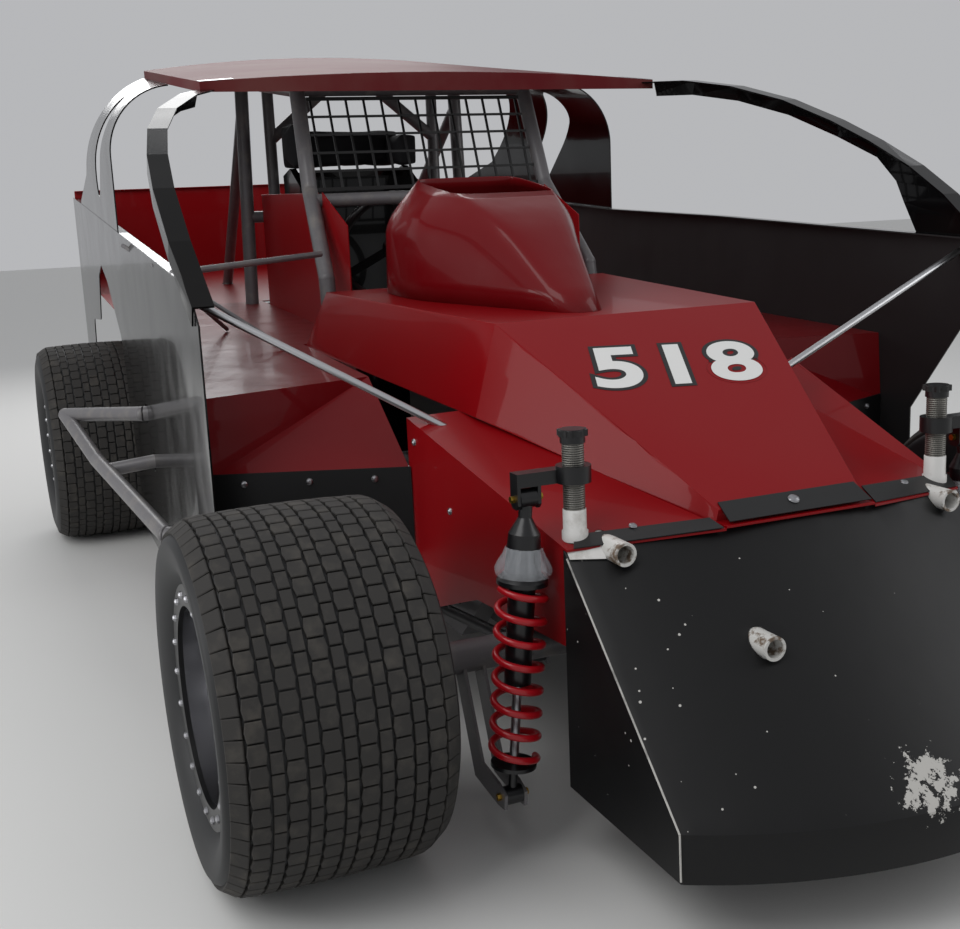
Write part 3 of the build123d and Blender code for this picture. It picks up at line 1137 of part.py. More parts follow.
def main():
    os.makedirs("parts", exist_ok=True)
    wheels = [("front", FRONT_TYRE_R, FRONT_TYRE_WIDTH, FRONT_TRACK_HALF, 0.0),
              ("rear", REAR_TYRE_R, REAR_TYRE_WIDTH, REAR_TRACK_HALF, WHEELBASE)]
    for end, radius, width, half, y in wheels:
        for side in ("right", "left"):
            for name, part in (("tyre", tyre(radius, width)), ("wheel", wheel().fuse(hub()))):
                save(f"{name}_{end}_{side}", place_wheel(part, side, y, radius, half))
    right_knuckle = knuckle()
    save("knuckle_right", right_knuckle)
    save("knuckle_left", other_side(right_knuckle))
    save("tie_rod", tie_rod())
    save("front_axle", front_axle())
    save("rear_axle", rear_axle())
    save("drive_shaft", drive_shaft())
    save("engine", engine())
    save("fuel_cell", fuel_cell())
    save("chassis_frame", *chassis_frame())
    save("roll_cage", roll_cage())
    save("rear_bumper", rear_bumper())
    coils = [(COIL_FOOT, COIL_HEAD), (REAR_COIL_FOOT, REAR_COIL_HEAD)]
    save("coilovers", *[p for ends in coils for p in both_sides(coilover(*ends))])
    save("springs", *[p for ends in coils for p in both_sides(spring(*ends))])
    links = [(LINK_FRONT, LINK_RAIL_FRONT), (LINK_RAIL_REAR, LINK_REAR)]
    save("suspension_links", *[p for ends in links for p in both_sides(suspension_link(*ends))])
    save("front_posts", *both_sides(front_post()))
    save("nose_panel", nose())
    save("hood", hood())
    save("cowl_scoop", scoop())
    save("centre_panels", centre_panels("right"), other_side(centre_panels("left")))
    save("side_panel_right", side_panel("right"))
    save("side_panel_left", other_side(side_panel("left")))
    save("side_decks", *both_sides(side_deck()))
    save("sail_panels", *both_sides(sail()))
    save("side_rails", *both_sides(nerf_bar()))
    save("deck_skirts", *both_sides(skirt()))
    save("roof_pillars", roof_pillar("right"), other_side(roof_pillar("left")))
    save("roof", roof())
    save("tail_panel", tail_panel())
    save("rear_deck", rear_deck())
    save("cockpit_panels", *both_sides(cockpit_panel()))
    save("window_guard", window_guard())
    save("body_braces", body_brace("right"), other_side(body_brace("left")))
    save("seat", seat())
    save("headrest", headrest())
    save("steering_wheel", steering_wheel())


main()
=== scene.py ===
# %% [markdown]
# # A dirt-track stock car, dressed
# This script gives them their paint, rubber and metal, adds the small things that a solid model
# leaves out, and sets up the studio in which the picture is taken. All lengths are metres. The
# car's right side is at negative X, its nose points along negative Y, and Z is up from the floor.

# %% The frame
import json
from math import cos, pi, radians, sin
from random import Random

import bmesh
import bpy
from mathutils import Matrix, Vector


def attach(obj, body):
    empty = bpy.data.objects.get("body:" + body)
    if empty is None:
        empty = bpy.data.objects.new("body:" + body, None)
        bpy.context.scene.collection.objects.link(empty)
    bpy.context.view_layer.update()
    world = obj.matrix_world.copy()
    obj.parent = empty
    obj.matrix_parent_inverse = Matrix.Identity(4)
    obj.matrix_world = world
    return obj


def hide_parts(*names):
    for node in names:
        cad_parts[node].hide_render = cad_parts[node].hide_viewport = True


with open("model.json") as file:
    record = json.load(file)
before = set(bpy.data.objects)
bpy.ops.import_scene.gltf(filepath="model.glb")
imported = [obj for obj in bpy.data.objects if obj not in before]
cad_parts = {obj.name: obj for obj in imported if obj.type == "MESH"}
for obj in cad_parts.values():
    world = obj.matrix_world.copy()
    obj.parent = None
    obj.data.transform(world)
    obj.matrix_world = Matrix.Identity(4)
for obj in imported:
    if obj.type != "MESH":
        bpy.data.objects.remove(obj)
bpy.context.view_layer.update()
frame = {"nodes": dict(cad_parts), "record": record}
nodes = frame["nodes"]


def box_of(name):
    """Low and high corner of a node, to a tenth of a millimetre."""
    spots = [nodes[name].matrix_world @ vert.co for vert in nodes[name].data.vertices]
    return [[round(limit(spot[i] for spot in spots), 4) for i in range(3)] for limit in (min, max)]


tyre_low, tyre_high = box_of("tyre_front_right")
AXLE_Y = (tyre_low[1] + tyre_high[1]) / 2
print("front axle at", round(AXLE_Y, 4))


def at(x, y, z):
    """Point given with Y from the front axle."""
    return (x, y + AXLE_Y, z)


def between(start, end, y):
    """Value at y on the line through two (y, value) points."""
    return start[1] + (y - start[0]) * (end[1] - start[1]) / (end[0] - start[0])


# %% [markdown]
# ## Colour and nodes
# Colours are chosen as they look on a screen, so they are written as hex codes and turned to the
# linear values that a renderer multiplies. One small function adds a node and sets or links its
# sockets, for materials and for Geometry Nodes alike.

# %% Helpers for colours and nodes
def linear(hex_code):
    """Linear red, green, blue and alpha of a screen colour."""
    values = [int(hex_code[i:i + 2], 16) / 255 for i in (1, 3, 5)]
    return [v / 12.92 if v <= 0.04045 else ((v + 0.055) / 1.055) ** 2.4 for v in values] + [1.0]


def add_node(tree, kind, inputs=None, **settings):
    """A node with its settings and inputs: values, sockets, or nodes that give their first output."""
    node = tree.nodes.new(kind)
    for name, value in settings.items():
        setattr(node, name, value)
    for name, value in (inputs or {}).items():
        if isinstance(value, bpy.types.Node):
            value = next(socket for socket in value.outputs if socket.enabled)
        if isinstance(value, bpy.types.NodeSocket):
            tree.links.new(value, node.inputs[name])
        else:
            node.inputs[name].default_value = value
    return node


def empty_material(name):
    """A material, its empty node tree, and its Object coordinates in metres."""
    material = bpy.data.materials.new(name)
    material.use_nodes = True
    tree = material.node_tree
    tree.nodes.clear()
    return material, tree, add_node(tree, "ShaderNodeTexCoord").outputs["Object"]


def surfaced(material, inputs):
    """The material with a Principled shader that has those inputs."""
    tree = material.node_tree
    shader = add_node(tree, "ShaderNodeBsdfPrincipled", inputs)
    add_node(tree, "ShaderNodeOutputMaterial", {"Surface": shader})
    return material


def patchy(tree, spot, size, detail, grain, edges, levels):
    """Patches of about that size in metres: the first level below the edges, the second above."""
    clouds = add_node(tree, "ShaderNodeTexNoise", {
        "Vector": spot, "Scale": 1 / size, "Detail": detail, "Roughness": grain})
    return add_node(tree, "ShaderNodeMapRange", {
        "Value": clouds, "From Min": edges[0], "From Max": edges[1],
        "To Min": levels[0], "To Max": levels[1]})


def wavy(tree, spot, size, detail, depth):
    """The waves in thin sheet, of about that size and depth in metres, as a bump."""
    waves = add_node(tree, "ShaderNodeTexNoise", {
        "Vector": spot, "Scale": 1 / size, "Detail": detail, "Roughness": 0.55})
    return add_node(tree, "ShaderNodeBump", {"Height": waves, "Distance": depth, "Strength": 1.0})


# %% [markdown]
# ## Paint
# The body is aluminium sheet with a two-pack gloss paint. The colour lies deep, and how sharp the
# reflections are depends on how fresh the gloss is. Panels of a race car are never flat, so a weak,
# wide bump makes the reflections wander as they do on thin sheet. The nose is moulded plastic that
# flying stones have chipped, which comes from cells that are white only where a second noise allows.

# %% Paint materials
DUST = linear("#8a8378")
DUST_CLOUD = 0.35
CHIPS_PER_METRE = 34.0
CHIP_FIELD = 0.12
SCUFF_SPOT = at(-0.03, -0.665, 0.245)
SCUFF_CORE, SCUFF_EDGE, SCUFF_REACH = 0.03, 0.085, 0.09
SCRATCH_GAP = 0.02
NOSE_WAVE, NOSE_WAVE_DEEP = 0.2, 0.002


def sheet_paint(name, colour, rough, ripple=0.0015, size=0.28, dusty=0.05, coat=1.0):
    """Gloss paint on thin sheet, a little dusty: deep colour with sharp, wandering reflections."""
    material, tree, spot = empty_material(name)
    haze = patchy(tree, spot, DUST_CLOUD, 6, 0.55, (0.4, 0.8), (0.0, dusty))
    dusted = add_node(tree, "ShaderNodeMix", {0: haze, 6: linear(colour), 7: DUST}, data_type="RGBA")
    return surfaced(material, {
        "Base Color": dusted, "Roughness": rough, "Specular IOR Level": 0.12,
        "Coat Weight": coat, "Coat Roughness": 0.03, "Normal": wavy(tree, spot, size, 1.5, ripple)})


def nose_paint():
    """Black gloss paint with stone chips down to white primer and one scuffed patch."""
    material, tree, spot = empty_material("chipped_black_paint_on_plastic")
    cells = add_node(tree, "ShaderNodeTexVoronoi", {"Vector": spot, "Scale": CHIPS_PER_METRE})
    rare = patchy(tree, spot, CHIP_FIELD, 2, 0.55, (0.42, 0.66), (0.0, 0.085))
    chips = add_node(tree, "ShaderNodeMath", {0: cells, 1: rare}, operation="LESS_THAN")
    away = add_node(tree, "ShaderNodeVectorMath", {0: spot, 1: SCUFF_SPOT}, operation="DISTANCE")
    reach = away.outputs["Value"]
    near = add_node(tree, "ShaderNodeMapRange", {
        "Value": reach, "From Min": SCUFF_CORE, "From Max": SCUFF_EDGE, "To Min": 0.56, "To Max": 0.28})
    grain = add_node(tree, "ShaderNodeTexNoise", {
        "Vector": spot, "Scale": 1 / SCRATCH_GAP, "Detail": 6, "Roughness": 0.7})
    scratches = add_node(tree, "ShaderNodeMath", {0: grain, 1: near}, operation="LESS_THAN")
    close = add_node(tree, "ShaderNodeMath", {0: reach, 1: SCUFF_REACH}, operation="LESS_THAN")
    scuff = add_node(tree, "ShaderNodeMath", {0: scratches, 1: close}, operation="MULTIPLY")
    worn = add_node(tree, "ShaderNodeMath", {0: chips, 1: scuff}, operation="MAXIMUM")
    chipped = add_node(tree, "ShaderNodeMix", {0: worn, 6: linear("#0b0b0c"), 7: linear("#b9b7b2")},
                       data_type="RGBA")
    return surfaced(material, {
        "Base Color": chipped, "Roughness": 0.46, "Specular IOR Level": 0.3,
        "Normal": wavy(tree, spot, NOSE_WAVE, 2, NOSE_WAVE_DEEP)})


# Nearly flat red panels: deep red with a soft, broad shine.
red = sheet_paint("two_pack_red_on_aluminium", "#82070e", 0.34, dusty=0.02, coat=0.1)
# The decks and the hump are hammered and often leant on, so their reflections break up.
# Their red is darker than the hood's, which is painted shade; the dents are real.
shaded_red = sheet_paint("two_pack_red_painted_shade_on_dented_aluminium", "#6a070e", 0.3, 0.004, 0.12, 0.03, 0.25)
# Black panels mirror the room, bent by the sheet's waves.
black = sheet_paint("two_pack_black_on_aluminium", "#070708", 0.16, 0.006, 0.3, 0.02, 0.3)
# The roof is dulled by dust and sun; its darker red is painted shade.
roof_red = sheet_paint("two_pack_red_dusty_painted_shade", "#5a1217", 0.55, dusty=0.2, coat=0.0)
nose_black = nose_paint()
print("paints", red.name, black.name, nose_black.name)

# %% [markdown]
# ## Frame, wheels and the left panel
# Three kinds of piece carry two finishes, because each is one solid: the frame is grey with white
# sockets, a wheel is polished with a black ring, and the left panel is dull inside. The place in
# the car, or the way that the surface faces, says which of the two a point has.

# %% Materials with two finishes
SOCKETS_AHEAD_OF = AXLE_Y - 0.19
RUST_SPOT = 0.03
TUBE_DUST = 0.2
LEFT_WAVE, LEFT_WAVE_DEEP = 0.16, 0.004


def frame_paint():
    """Grey enamel on the tubes, and chipped white on the sockets that stand out of the nose."""
    material, tree, spot = empty_material("enamel_grey_and_chipped_white_on_steel")
    places = add_node(tree, "ShaderNodeSeparateXYZ", {"Vector": spot}).outputs
    ahead = add_node(tree, "ShaderNodeMath", {0: places["Y"], 1: SOCKETS_AHEAD_OF},
                     operation="LESS_THAN")
    rust = patchy(tree, spot, RUST_SPOT, 8, 0.7, (0.52, 0.6), (0.0, 1.0))
    white = add_node(tree, "ShaderNodeMix", {0: rust, 6: linear("#c9c8c4"), 7: linear("#6b5a4a")},
                     data_type="RGBA")
    dust = patchy(tree, spot, TUBE_DUST, 6, 0.55, (0.4, 0.8), (0.0, 0.3))
    grey = add_node(tree, "ShaderNodeMix", {0: dust, 6: linear("#5f5d5f"), 7: linear("#7a756e")},
                    data_type="RGBA")
    enamel = add_node(tree, "ShaderNodeMix", {0: ahead, 6: grey, 7: white}, data_type="RGBA")
    return surfaced(material, {"Base Color": enamel, "Roughness": 0.38})


def wheel_metal(name, ring_from):
    """Polished aluminium barrel with a black ring outside it, from that distance off the middle."""
    material, tree, spot = empty_material(name)
    places = add_node(tree, "ShaderNodeSeparateXYZ", {"Vector": spot}).outputs
    out = add_node(tree, "ShaderNodeMath", {0: places["X"]}, operation="ABSOLUTE")
    ring = add_node(tree, "ShaderNodeMath", {0: out, 1: ring_from}, operation="GREATER_THAN")
    bright = add_node(tree, "ShaderNodeMapRange", {"Value": ring, "To Min": 1.0, "To Max": 0.0})
    rough = add_node(tree, "ShaderNodeMapRange", {"Value": ring, "To Min": 0.18, "To Max": 0.35})
    colour = add_node(tree, "ShaderNodeMix", {0: ring, 6: linear("#c9c9cc"), 7: linear("#0d0d0e")},
                      data_type="RGBA")
    return surfaced(material, {"Base Color": colour, "Metallic": bright, "Roughness": rough})


def two_faced_black():
    """The left panel: gloss black outside, dull black on the side that faces the driver."""
    material, tree, spot = empty_material("black_aluminium_dull_inside")
    normal = add_node(tree, "ShaderNodeNewGeometry").outputs["Normal"]
    facing = add_node(tree, "ShaderNodeSeparateXYZ", {"Vector": normal}).outputs["X"]
    inside = add_node(tree, "ShaderNodeMath", {0: facing, 1: -0.5}, operation="LESS_THAN")
    rough = add_node(tree, "ShaderNodeMapRange", {"Value": inside, "To Min": 0.12, "To Max": 0.55})
    colour = add_node(tree, "ShaderNodeMix", {0: inside, 6: linear("#080809"), 7: linear("#121011")},
                      data_type="RGBA")
    return surfaced(material, {"Base Color": colour, "Roughness": rough,
                               "Normal": wavy(tree, spot, LEFT_WAVE, 1.5, LEFT_WAVE_DEEP)})


frame_grey = frame_paint()
left_black = two_faced_black()
print("two-part finishes", frame_grey.name, left_black.name)

# %% [markdown]
# ## Rubber, metal and plastics
# The other finishes are one material each, so a colour and a roughness say nearly all. Dirt and wear
# come as patches of a second colour, a few centimetres across.

# %% Plain materials
WEAR_PATCH = 0.05


def plain(name, colour, rough, metallic=0.0, wear=None):
    """A material with one colour and finish, with patches of a second colour where it has wear."""
    material, tree, spot = empty_material(name)
    base = linear(colour)
    if wear:
        worn = patchy(tree, spot, WEAR_PATCH, 8, 0.65, (0.5, 0.75), (0.0, 0.8))
        base = add_node(tree, "ShaderNodeMix", {0: worn, 6: base, 7: linear(wear)}, data_type="RGBA")
    return surfaced(material, {"Base Color": base, "Roughness": rough, "Metallic": metallic})


# Drawn steel tube in grey enamel: a soft shine with dust on it.
tube_grey = plain("enamel_grey_on_steel_tube", "#636163", 0.36, wear="#7d7872")
# Moulded tyre rubber: nearly black with a broad, weak shine.
rubber = plain("tyre_rubber", "#111214", 0.55)
# Tread rubber ground on dirt: brown and grey, without shine.
dusty_rubber = plain("dusty_tread_rubber", "#2b2927", 0.8, wear="#47433d")
# Spun aluminium rims: bright, slightly blurred reflections.
alloy = plain("spun_aluminium", "#c4c4c6", 0.28, 1.0)
# Aluminium where paint has rubbed off a cut edge: a thin bright line.
bare_edge = plain("bare_cut_aluminium", "#d8d8da", 0.22, 1.0)
# Zinc plate on screws and rods: pale grey metal with a soft shine.
steel = plain("zinc_plated_steel", "#a2a2a5", 0.35, 1.0)
# Steel painted black: hides in the shade under the body.
dark_steel = plain("painted_steel_dark", "#232325", 0.45)
# Lacquered wire of the window guard: thin dark lines.
wire_black = plain("black_wire", "#0f0f10", 0.4)
# Powder coat on the springs: clean red with a narrow highlight on each coil.
spring_red = plain("powder_coat_red_on_spring_steel", "#a40c18", 0.28)
# Anodised aluminium of the dampers: black with a clear highlight.
damper_black = plain("anodised_black_aluminium", "#101012", 0.3)
# Sheet polyethylene: black and a little waxy.
plastic_black = plain("polyethylene_black", "#0c0c0d", 0.5)
# Woven nylon cover of the head surround: black that takes the light softly.
cushion_black = plain("nylon_cloth_black", "#101115", 0.85)
# Cast iron of the engine: brown-grey and dull.
iron = plain("cast_iron", "#3a3836", 0.6)
# Threaded tube of the front posts: grey metal with grime between the threads.
threaded = plain("worn_threaded_steel", "#77756f", 0.45, 0.8, wear="#4d4a45")
# Turned brass of the coil-overs' bolts: a warm yellow glint.
brass = plain("turned_brass", "#b5903c", 0.3, 1.0)
# White enamel on sleeves and tape, chipped to dirt.
white_paint = plain("chipped_white_enamel", "#cfcecb", 0.45, wear="#8b857b")
# Primer that shows where the nose's crease is rubbed through.
worn_edge = plain("primer_at_worn_edge", "#b4b2ad", 0.5, wear="#111112")
# Cast vinyl of the number: flat colour with a faint sheen.
decal_white = plain("cast_vinyl_white", "#dcdcda", 0.4)
decal_black = plain("cast_vinyl_black", "#0b0b0c", 0.4)
# Painted floor of the studio: plain and matt.
studio_grey = plain("studio_floor", "#d6d6d4", 0.7)
print("plain materials made, the last", studio_grey.name)

# %% [markdown]
# ## Dressing the solids
# Each solid has a material slot in the car's record, and the slot names its finish. A few solids
# look different from the others of their slot, and these have a finish of their own.

# %% Finish of each node
FRONT_RING_FROM = 1.0285
REAR_RING_FROM = 1.0505
FINISHES = {
    "body_red": red, "body_black": black, "frame_grey": tube_grey, "rubber_black": rubber,
    "rim_alloy": alloy, "steel_dark": dark_steel, "spring_red": spring_red,
    "damper_black": damper_black, "plastic_black": plastic_black, "cushion_black": cushion_black,
    "engine_block": iron}
# The decks and the roof have darker reds than the hood, which are painted shade.
OWN_FINISH = {
    "nose_panel": nose_black, "chassis_frame": frame_grey, "side_panel_left": left_black,
    "side_decks": shaded_red, "roof": roof_red, "window_guard": wire_black}
for end, ring_from in (("front", FRONT_RING_FROM), ("rear", REAR_RING_FROM)):
    polished = wheel_metal(f"polished_{end}_wheel", ring_from)
    for side in ("right", "left"):
        OWN_FINISH[f"wheel_{end}_{side}"] = polished
slot_of = {part["node"]: part["material_slot"] for part in frame["record"]["subparts"]}
for name, obj in nodes.items():
    obj.data.materials.clear()
    obj.data.materials.append(OWN_FINISH.get(name, FINISHES[slot_of[name]]))
print("dressed", len(slot_of))

# %% [markdown]
# ## Folded edges
# A folded or cut edge of sheet metal is never sharp: it is rounded by about a millimetre and
# catches the light as a thin bright line. A bevel modifier on the panels gives that line without
# touching the solids themselves.

# %% Rounded edges on the sheet metal
EDGE_ROUND = 0.0014
WELD_WITHIN = 0.00002
FOLD_ANGLE = radians(25)
for name in ("hood", "centre_panels", "side_decks", "rear_deck", "tail_panel", "cockpit_panels",
             "side_panel_right", "side_panel_left", "nose_panel", "roof_pillars"):
    weld = nodes[name].modifiers.new("weld", "WELD")
    weld.merge_threshold = WELD_WITHIN
    rounded = nodes[name].modifiers.new("rounded", "BEVEL")
    rounded.width, rounded.segments = EDGE_ROUND, 2
    rounded.limit_method, rounded.angle_limit = "ANGLE", FOLD_ANGLE
print("edges rounded by", EDGE_ROUND * 1000, "mm")

# %% [markdown]
# ## Making pieces
# Every piece that this script adds is a plain mesh in the car's own frame. It rides on one of the
# car's bodies and has its finish. A shape is kept as points and faces until its piece is made, so
# that small shapes can be turned, joined and dressed together.

# %% Helpers for meshes
def linked(name, data):
    """An object with that data, linked to the scene."""
    obj = bpy.data.objects.new(name, data)
    bpy.context.scene.collection.objects.link(obj)
    return obj


def mesh_of(name, verts, faces):
    """A mesh from points and faces."""
    mesh = bpy.data.meshes.new(name)
    mesh.from_pydata([tuple(v) for v in verts], [], faces)
    return mesh


def piece(name, verts, faces, material, slot, body="car_body", smooth=False):
    """An object from points and faces, dressed and set on its body."""
    return finished(name, mesh_of(name, verts, faces), material, body, smooth)


def finished(name, mesh, material, body="car_body", smooth=False):
    """A mesh as an object of the car, with its normals outward."""
    shape = bmesh.new()
    shape.from_mesh(mesh)
    bmesh.ops.remove_doubles(shape, verts=shape.verts, dist=1e-6)
    bmesh.ops.recalc_face_normals(shape, faces=shape.faces)
    shape.to_mesh(mesh)
    shape.free()
    mesh.materials.clear()
    mesh.materials.append(material)
    mesh.polygons.foreach_set("use_smooth", [smooth] * len(mesh.polygons))
    obj = linked(name, mesh)
    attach(obj, body)
    return obj


def band(rows, count):
    """Faces between rows of count points each, each row closed on itself."""
    return [(i * count + k, i * count + (k + 1) % count, (i + 1) * count + (k + 1) % count,
             (i + 1) * count + k) for i in range(rows - 1) for k in range(count)]


def prism(low, high):
    """Closed shape between two outlines of as many points."""
    count = len(low)
    caps = [tuple(range(count)), tuple(range(count, 2 * count))]
    return [tuple(p) for p in (*low, *high)], caps + band(2, count)


def lathe(line, turns, about="X", centre=(0, 0, 0)):
    """Points and faces of a line of (along, radius) turned about an axis."""
    verts = []
    for along, radius in line:
        for k in range(turns):
            a = 2 * pi * k / turns
            flat = (radius * cos(a), radius * sin(a))
            spot = (along, *flat) if about == "X" else (*flat, along)
            verts.append(tuple(s + c for s, c in zip(spot, centre)))
    return verts, band(len(line), turns)


def joined(*shapes):
    """Several (points, faces) as one."""
    verts, faces = [], []
    for more_verts, more_faces in shapes:
        start = len(verts)
        verts += more_verts
        faces += [tuple(i + start for i in f) for f in more_faces]
    return verts, faces


def tube(start, end, radius, sides=12):
    """Straight round bar from start to end."""
    start, end = Vector(start), Vector(end)
    turn = (end - start).to_track_quat("Z", "Y").to_matrix()
    ring = [turn @ Vector((radius * cos(2 * pi * k / sides), radius * sin(2 * pi * k / sides), 0))
            for k in range(sides)]
    return prism([start + spot for spot in ring], [end + spot for spot in ring])


def slab(corners, thick):
    """Flat sheet through its corners, thickened along its normal."""
    a, b, c = (Vector(p) for p in corners[:3])
    normal = (b - a).cross(c - a).normalized() * thick
    return prism(corners, [Vector(p) + normal for p in corners])


def heads(spots, radius, height, normal, sides):
    """Low domed heads of screws at the spots, all facing along the normal."""
    turn = Vector(normal).normalized().to_track_quat("Z", "Y").to_matrix()
    line = [(0, radius), (0.6 * height, 0.85 * radius), (height, 0.4 * radius), (height, 0.0001)]
    verts, faces = lathe(line, sides, "Z")
    return joined(*(([tuple(turn @ Vector(v) + Vector(spot)) for v in verts], faces) for spot in spots))


print("helpers for bars, sheets, turned shapes and screw heads ready")

# %% [markdown]
# ## Tyres
# A dirt tyre's tread is a wall of small bricks in staggered columns, six-sided ones between straight
# ones, with grooves a few millimetres wide, and a row of larger edge blocks that roll over the
# shoulder. The carcass is turned from one smooth line. The blocks repeat by a rule, so Geometry
# Nodes places them: a point for each brick, counted into columns and rows, wrapped round the axle
# and leaned to follow the shoulder. The sums are a list of steps, each with the names of its inputs.

# %% The tread's node tree
def node_tree(name, rows):
    """A tree with a geometry in and out and named inputs, its group input, and their identifiers."""
    tree = bpy.data.node_groups.new(name, "GeometryNodeTree")
    for way in ("INPUT", "OUTPUT"):
        tree.interface.new_socket("Geometry", in_out=way, socket_type="NodeSocketGeometry")
    found = {}
    for label, kind in rows.items():
        found[label] = tree.interface.new_socket(label, in_out="INPUT", socket_type=kind).identifier
    return tree, add_node(tree, "NodeGroupInput").outputs, found


def end_tree(tree, geometry, material):
    """The end of a tree: real geometry with its material."""
    real = add_node(tree, "GeometryNodeRealizeInstances", {"Geometry": geometry})
    dressed = add_node(tree, "GeometryNodeSetMaterial", {"Geometry": real, "Material": material})
    add_node(tree, "NodeGroupOutput", {0: dressed})


NUMBER, WHOLE, MATERIAL = "NodeSocketFloat", "NodeSocketInt", "NodeSocketMaterial"
# Each step of the sums: its name, the operation, and its inputs by name or value.
TREAD_STEPS = [
    ("count", "MULTIPLY", "Rows", "Columns"),
    ("past a half", "ADD", "index", 0.5),
    ("columns passed", "DIVIDE", "past a half", "Rows"),
    ("column", "FLOOR", "columns passed", 0.0),
    ("bricks passed", "MULTIPLY", "column", "Rows"),
    ("row", "SUBTRACT", "index", "bricks passed"),
    ("steps across", "SUBTRACT", "Columns", 1.0),
    ("middle", "MULTIPLY", "steps across", 0.5),
    ("off middle", "SUBTRACT", "column", "middle"),
    ("across", "MULTIPLY", "off middle", "Pitch"),
    ("shifted row", "ADD", "row", "Phase"),
    ("share of a turn", "DIVIDE", "shifted row", "Rows"),
    ("turn", "MULTIPLY", "share of a turn", 2 * pi),
    ("share", "DIVIDE", "across", "Half Width"),
    ("share squared", "MULTIPLY", "share", "share"),
    ("bow", "MULTIPLY", "share squared", "Crown"),
    ("reach", "ABSOLUTE", "across", 0.0),
    ("beyond", "SUBTRACT", "reach", "Flat Half"),
    ("past flat", "MAXIMUM", "beyond", 0.0),
    ("past squared", "MULTIPLY", "past flat", "past flat"),
    ("fall", "MULTIPLY", "past squared", "Shoulder"),
    ("below bow", "SUBTRACT", "Radius", "bow"),
    ("radius", "SUBTRACT", "below bow", "fall"),
    ("turn back", "MULTIPLY", "turn", -1.0),
    ("sine", "SINE", "turn back", 0.0),
    ("cosine", "COSINE", "turn", 0.0),
    ("along", "MULTIPLY", "radius", "sine"),
    ("up", "MULTIPLY", "radius", "cosine"),
    ("twice share", "MULTIPLY", "share", 2.0),
    ("crown's lean", "MULTIPLY", "twice share", "Crown"),
    ("bow's slope", "DIVIDE", "crown's lean", "Half Width"),
    ("which side", "SIGN", "across", 0.0),
    ("past, signed", "MULTIPLY", "past flat", "which side"),
    ("twice past", "MULTIPLY", "past, signed", 2.0),
    ("fall's slope", "MULTIPLY", "twice past", "Shoulder"),
    ("slope", "ADD", "bow's slope", "fall's slope"),
    ("lean", "ARCTANGENT", "slope", 0.0)]
tread_tree, given, tread_inputs = node_tree("tread_blocks", {
    "Rows": WHOLE, "Columns": WHOLE, "Pitch": NUMBER, "Phase": NUMBER, "Radius": NUMBER,
    "Half Width": NUMBER, "Crown": NUMBER, "Shoulder": NUMBER, "Flat Half": NUMBER,
    "Rubber": MATERIAL})
known = {socket.name: socket for socket in given if socket.name}
known["index"] = add_node(tread_tree, "GeometryNodeInputIndex")
for result, operation, a, b in TREAD_STEPS:
    known[result] = add_node(tread_tree, "ShaderNodeMath", {0: known.get(a, a), 1: known.get(b, b)},
                             operation=operation)
points = add_node(tread_tree, "GeometryNodeMeshLine", {"Count": known["count"]})
spot = add_node(tread_tree, "ShaderNodeCombineXYZ", {
    "X": known["across"], "Y": known["along"], "Z": known["up"]})
moved = add_node(tread_tree, "GeometryNodeSetPosition", {"Geometry": points, "Position": spot})
about = add_node(tread_tree, "FunctionNodeAxisAngleToRotation", {
    "Axis": (1.0, 0.0, 0.0), "Angle": known["turn"]})
tip = add_node(tread_tree, "FunctionNodeAxisAngleToRotation", {
    "Axis": (0.0, 1.0, 0.0), "Angle": known["lean"]})
facing = add_node(tread_tree, "FunctionNodeRotateRotation", {"Rotation": about, "Rotate By": tip},
                  rotation_space="LOCAL")
blocks = add_node(tread_tree, "GeometryNodeInstanceOnPoints", {
    "Points": moved, "Instance": given["Geometry"], "Rotation": facing})
end_tree(tread_tree, blocks, given["Rubber"])
print("tread tree", len(tread_tree.nodes), "nodes")


# %% Plain meshes from trees
def evaluated_mesh(obj):
    """The plain mesh of an object with its modifiers."""
    bpy.context.view_layer.update()
    graph = bpy.context.evaluated_depsgraph_get()
    return bpy.data.meshes.new_from_object(obj.evaluated_get(graph))


def realized(name, mesh, tree, inputs, values):
    """The plain mesh that a node tree makes of a mesh, with its inputs set by name."""
    obj = linked(name, mesh)
    modifier = obj.modifiers.new("made", "NODES")
    modifier.node_group = tree
    for label, value in values.items():
        modifier[inputs[label]] = value
    made = evaluated_mesh(obj)
    obj.modifiers.remove(modifier)
    bpy.data.objects.remove(obj)
    return made


def merged(name, meshes, centre=(0, 0, 0)):
    """Several meshes as one, moved to a centre."""
    shape = bmesh.new()
    for mesh in meshes:
        shape.from_mesh(mesh)
    bmesh.ops.translate(shape, verts=shape.verts, vec=Vector(centre))
    result = bpy.data.meshes.new(name)
    shape.to_mesh(result)
    shape.free()
    return result


print("helpers for node trees ready")

# %% One tyre's carcass and blocks
TREAD_DEEP = 0.008
BLOCK_ROOT = 0.002
BLOCK_CHAMFER = 0.0012
BLOCK_TOP_SHARE = 0.9
ROWS = 58
COLUMN_PITCHES = 13.65
HEX_HALF_SHARE, HEX_BULGE = 0.44, 0.003
BRICK_HALF_SHARE = 0.34
LAST_COLUMN_ENDS = 5.5
HALF_GROOVE = 0.0018
EDGE_BLOCK_HALF = 0.0155
EDGE_BLOCK_GAP = 0.002
TREAD_EDGE = 0.012
CROWN = 0.008
SHOULDER = 9.0
SHOULDER_WIDE = 0.055
ABOVE_FLOOR = 0.0005
SIDE_LINE = [(0.163, 0.218), (0.176, 0.226), (0.188, 0.243), (0.195, 0.262)]
SIDE_TOP = 0.284
BEAD_HALF, INNER_HALF, BEAD_RADIUS = 0.163, 0.150, 0.1905
CREST_STEPS, CARCASS_TURNS = 24, 144


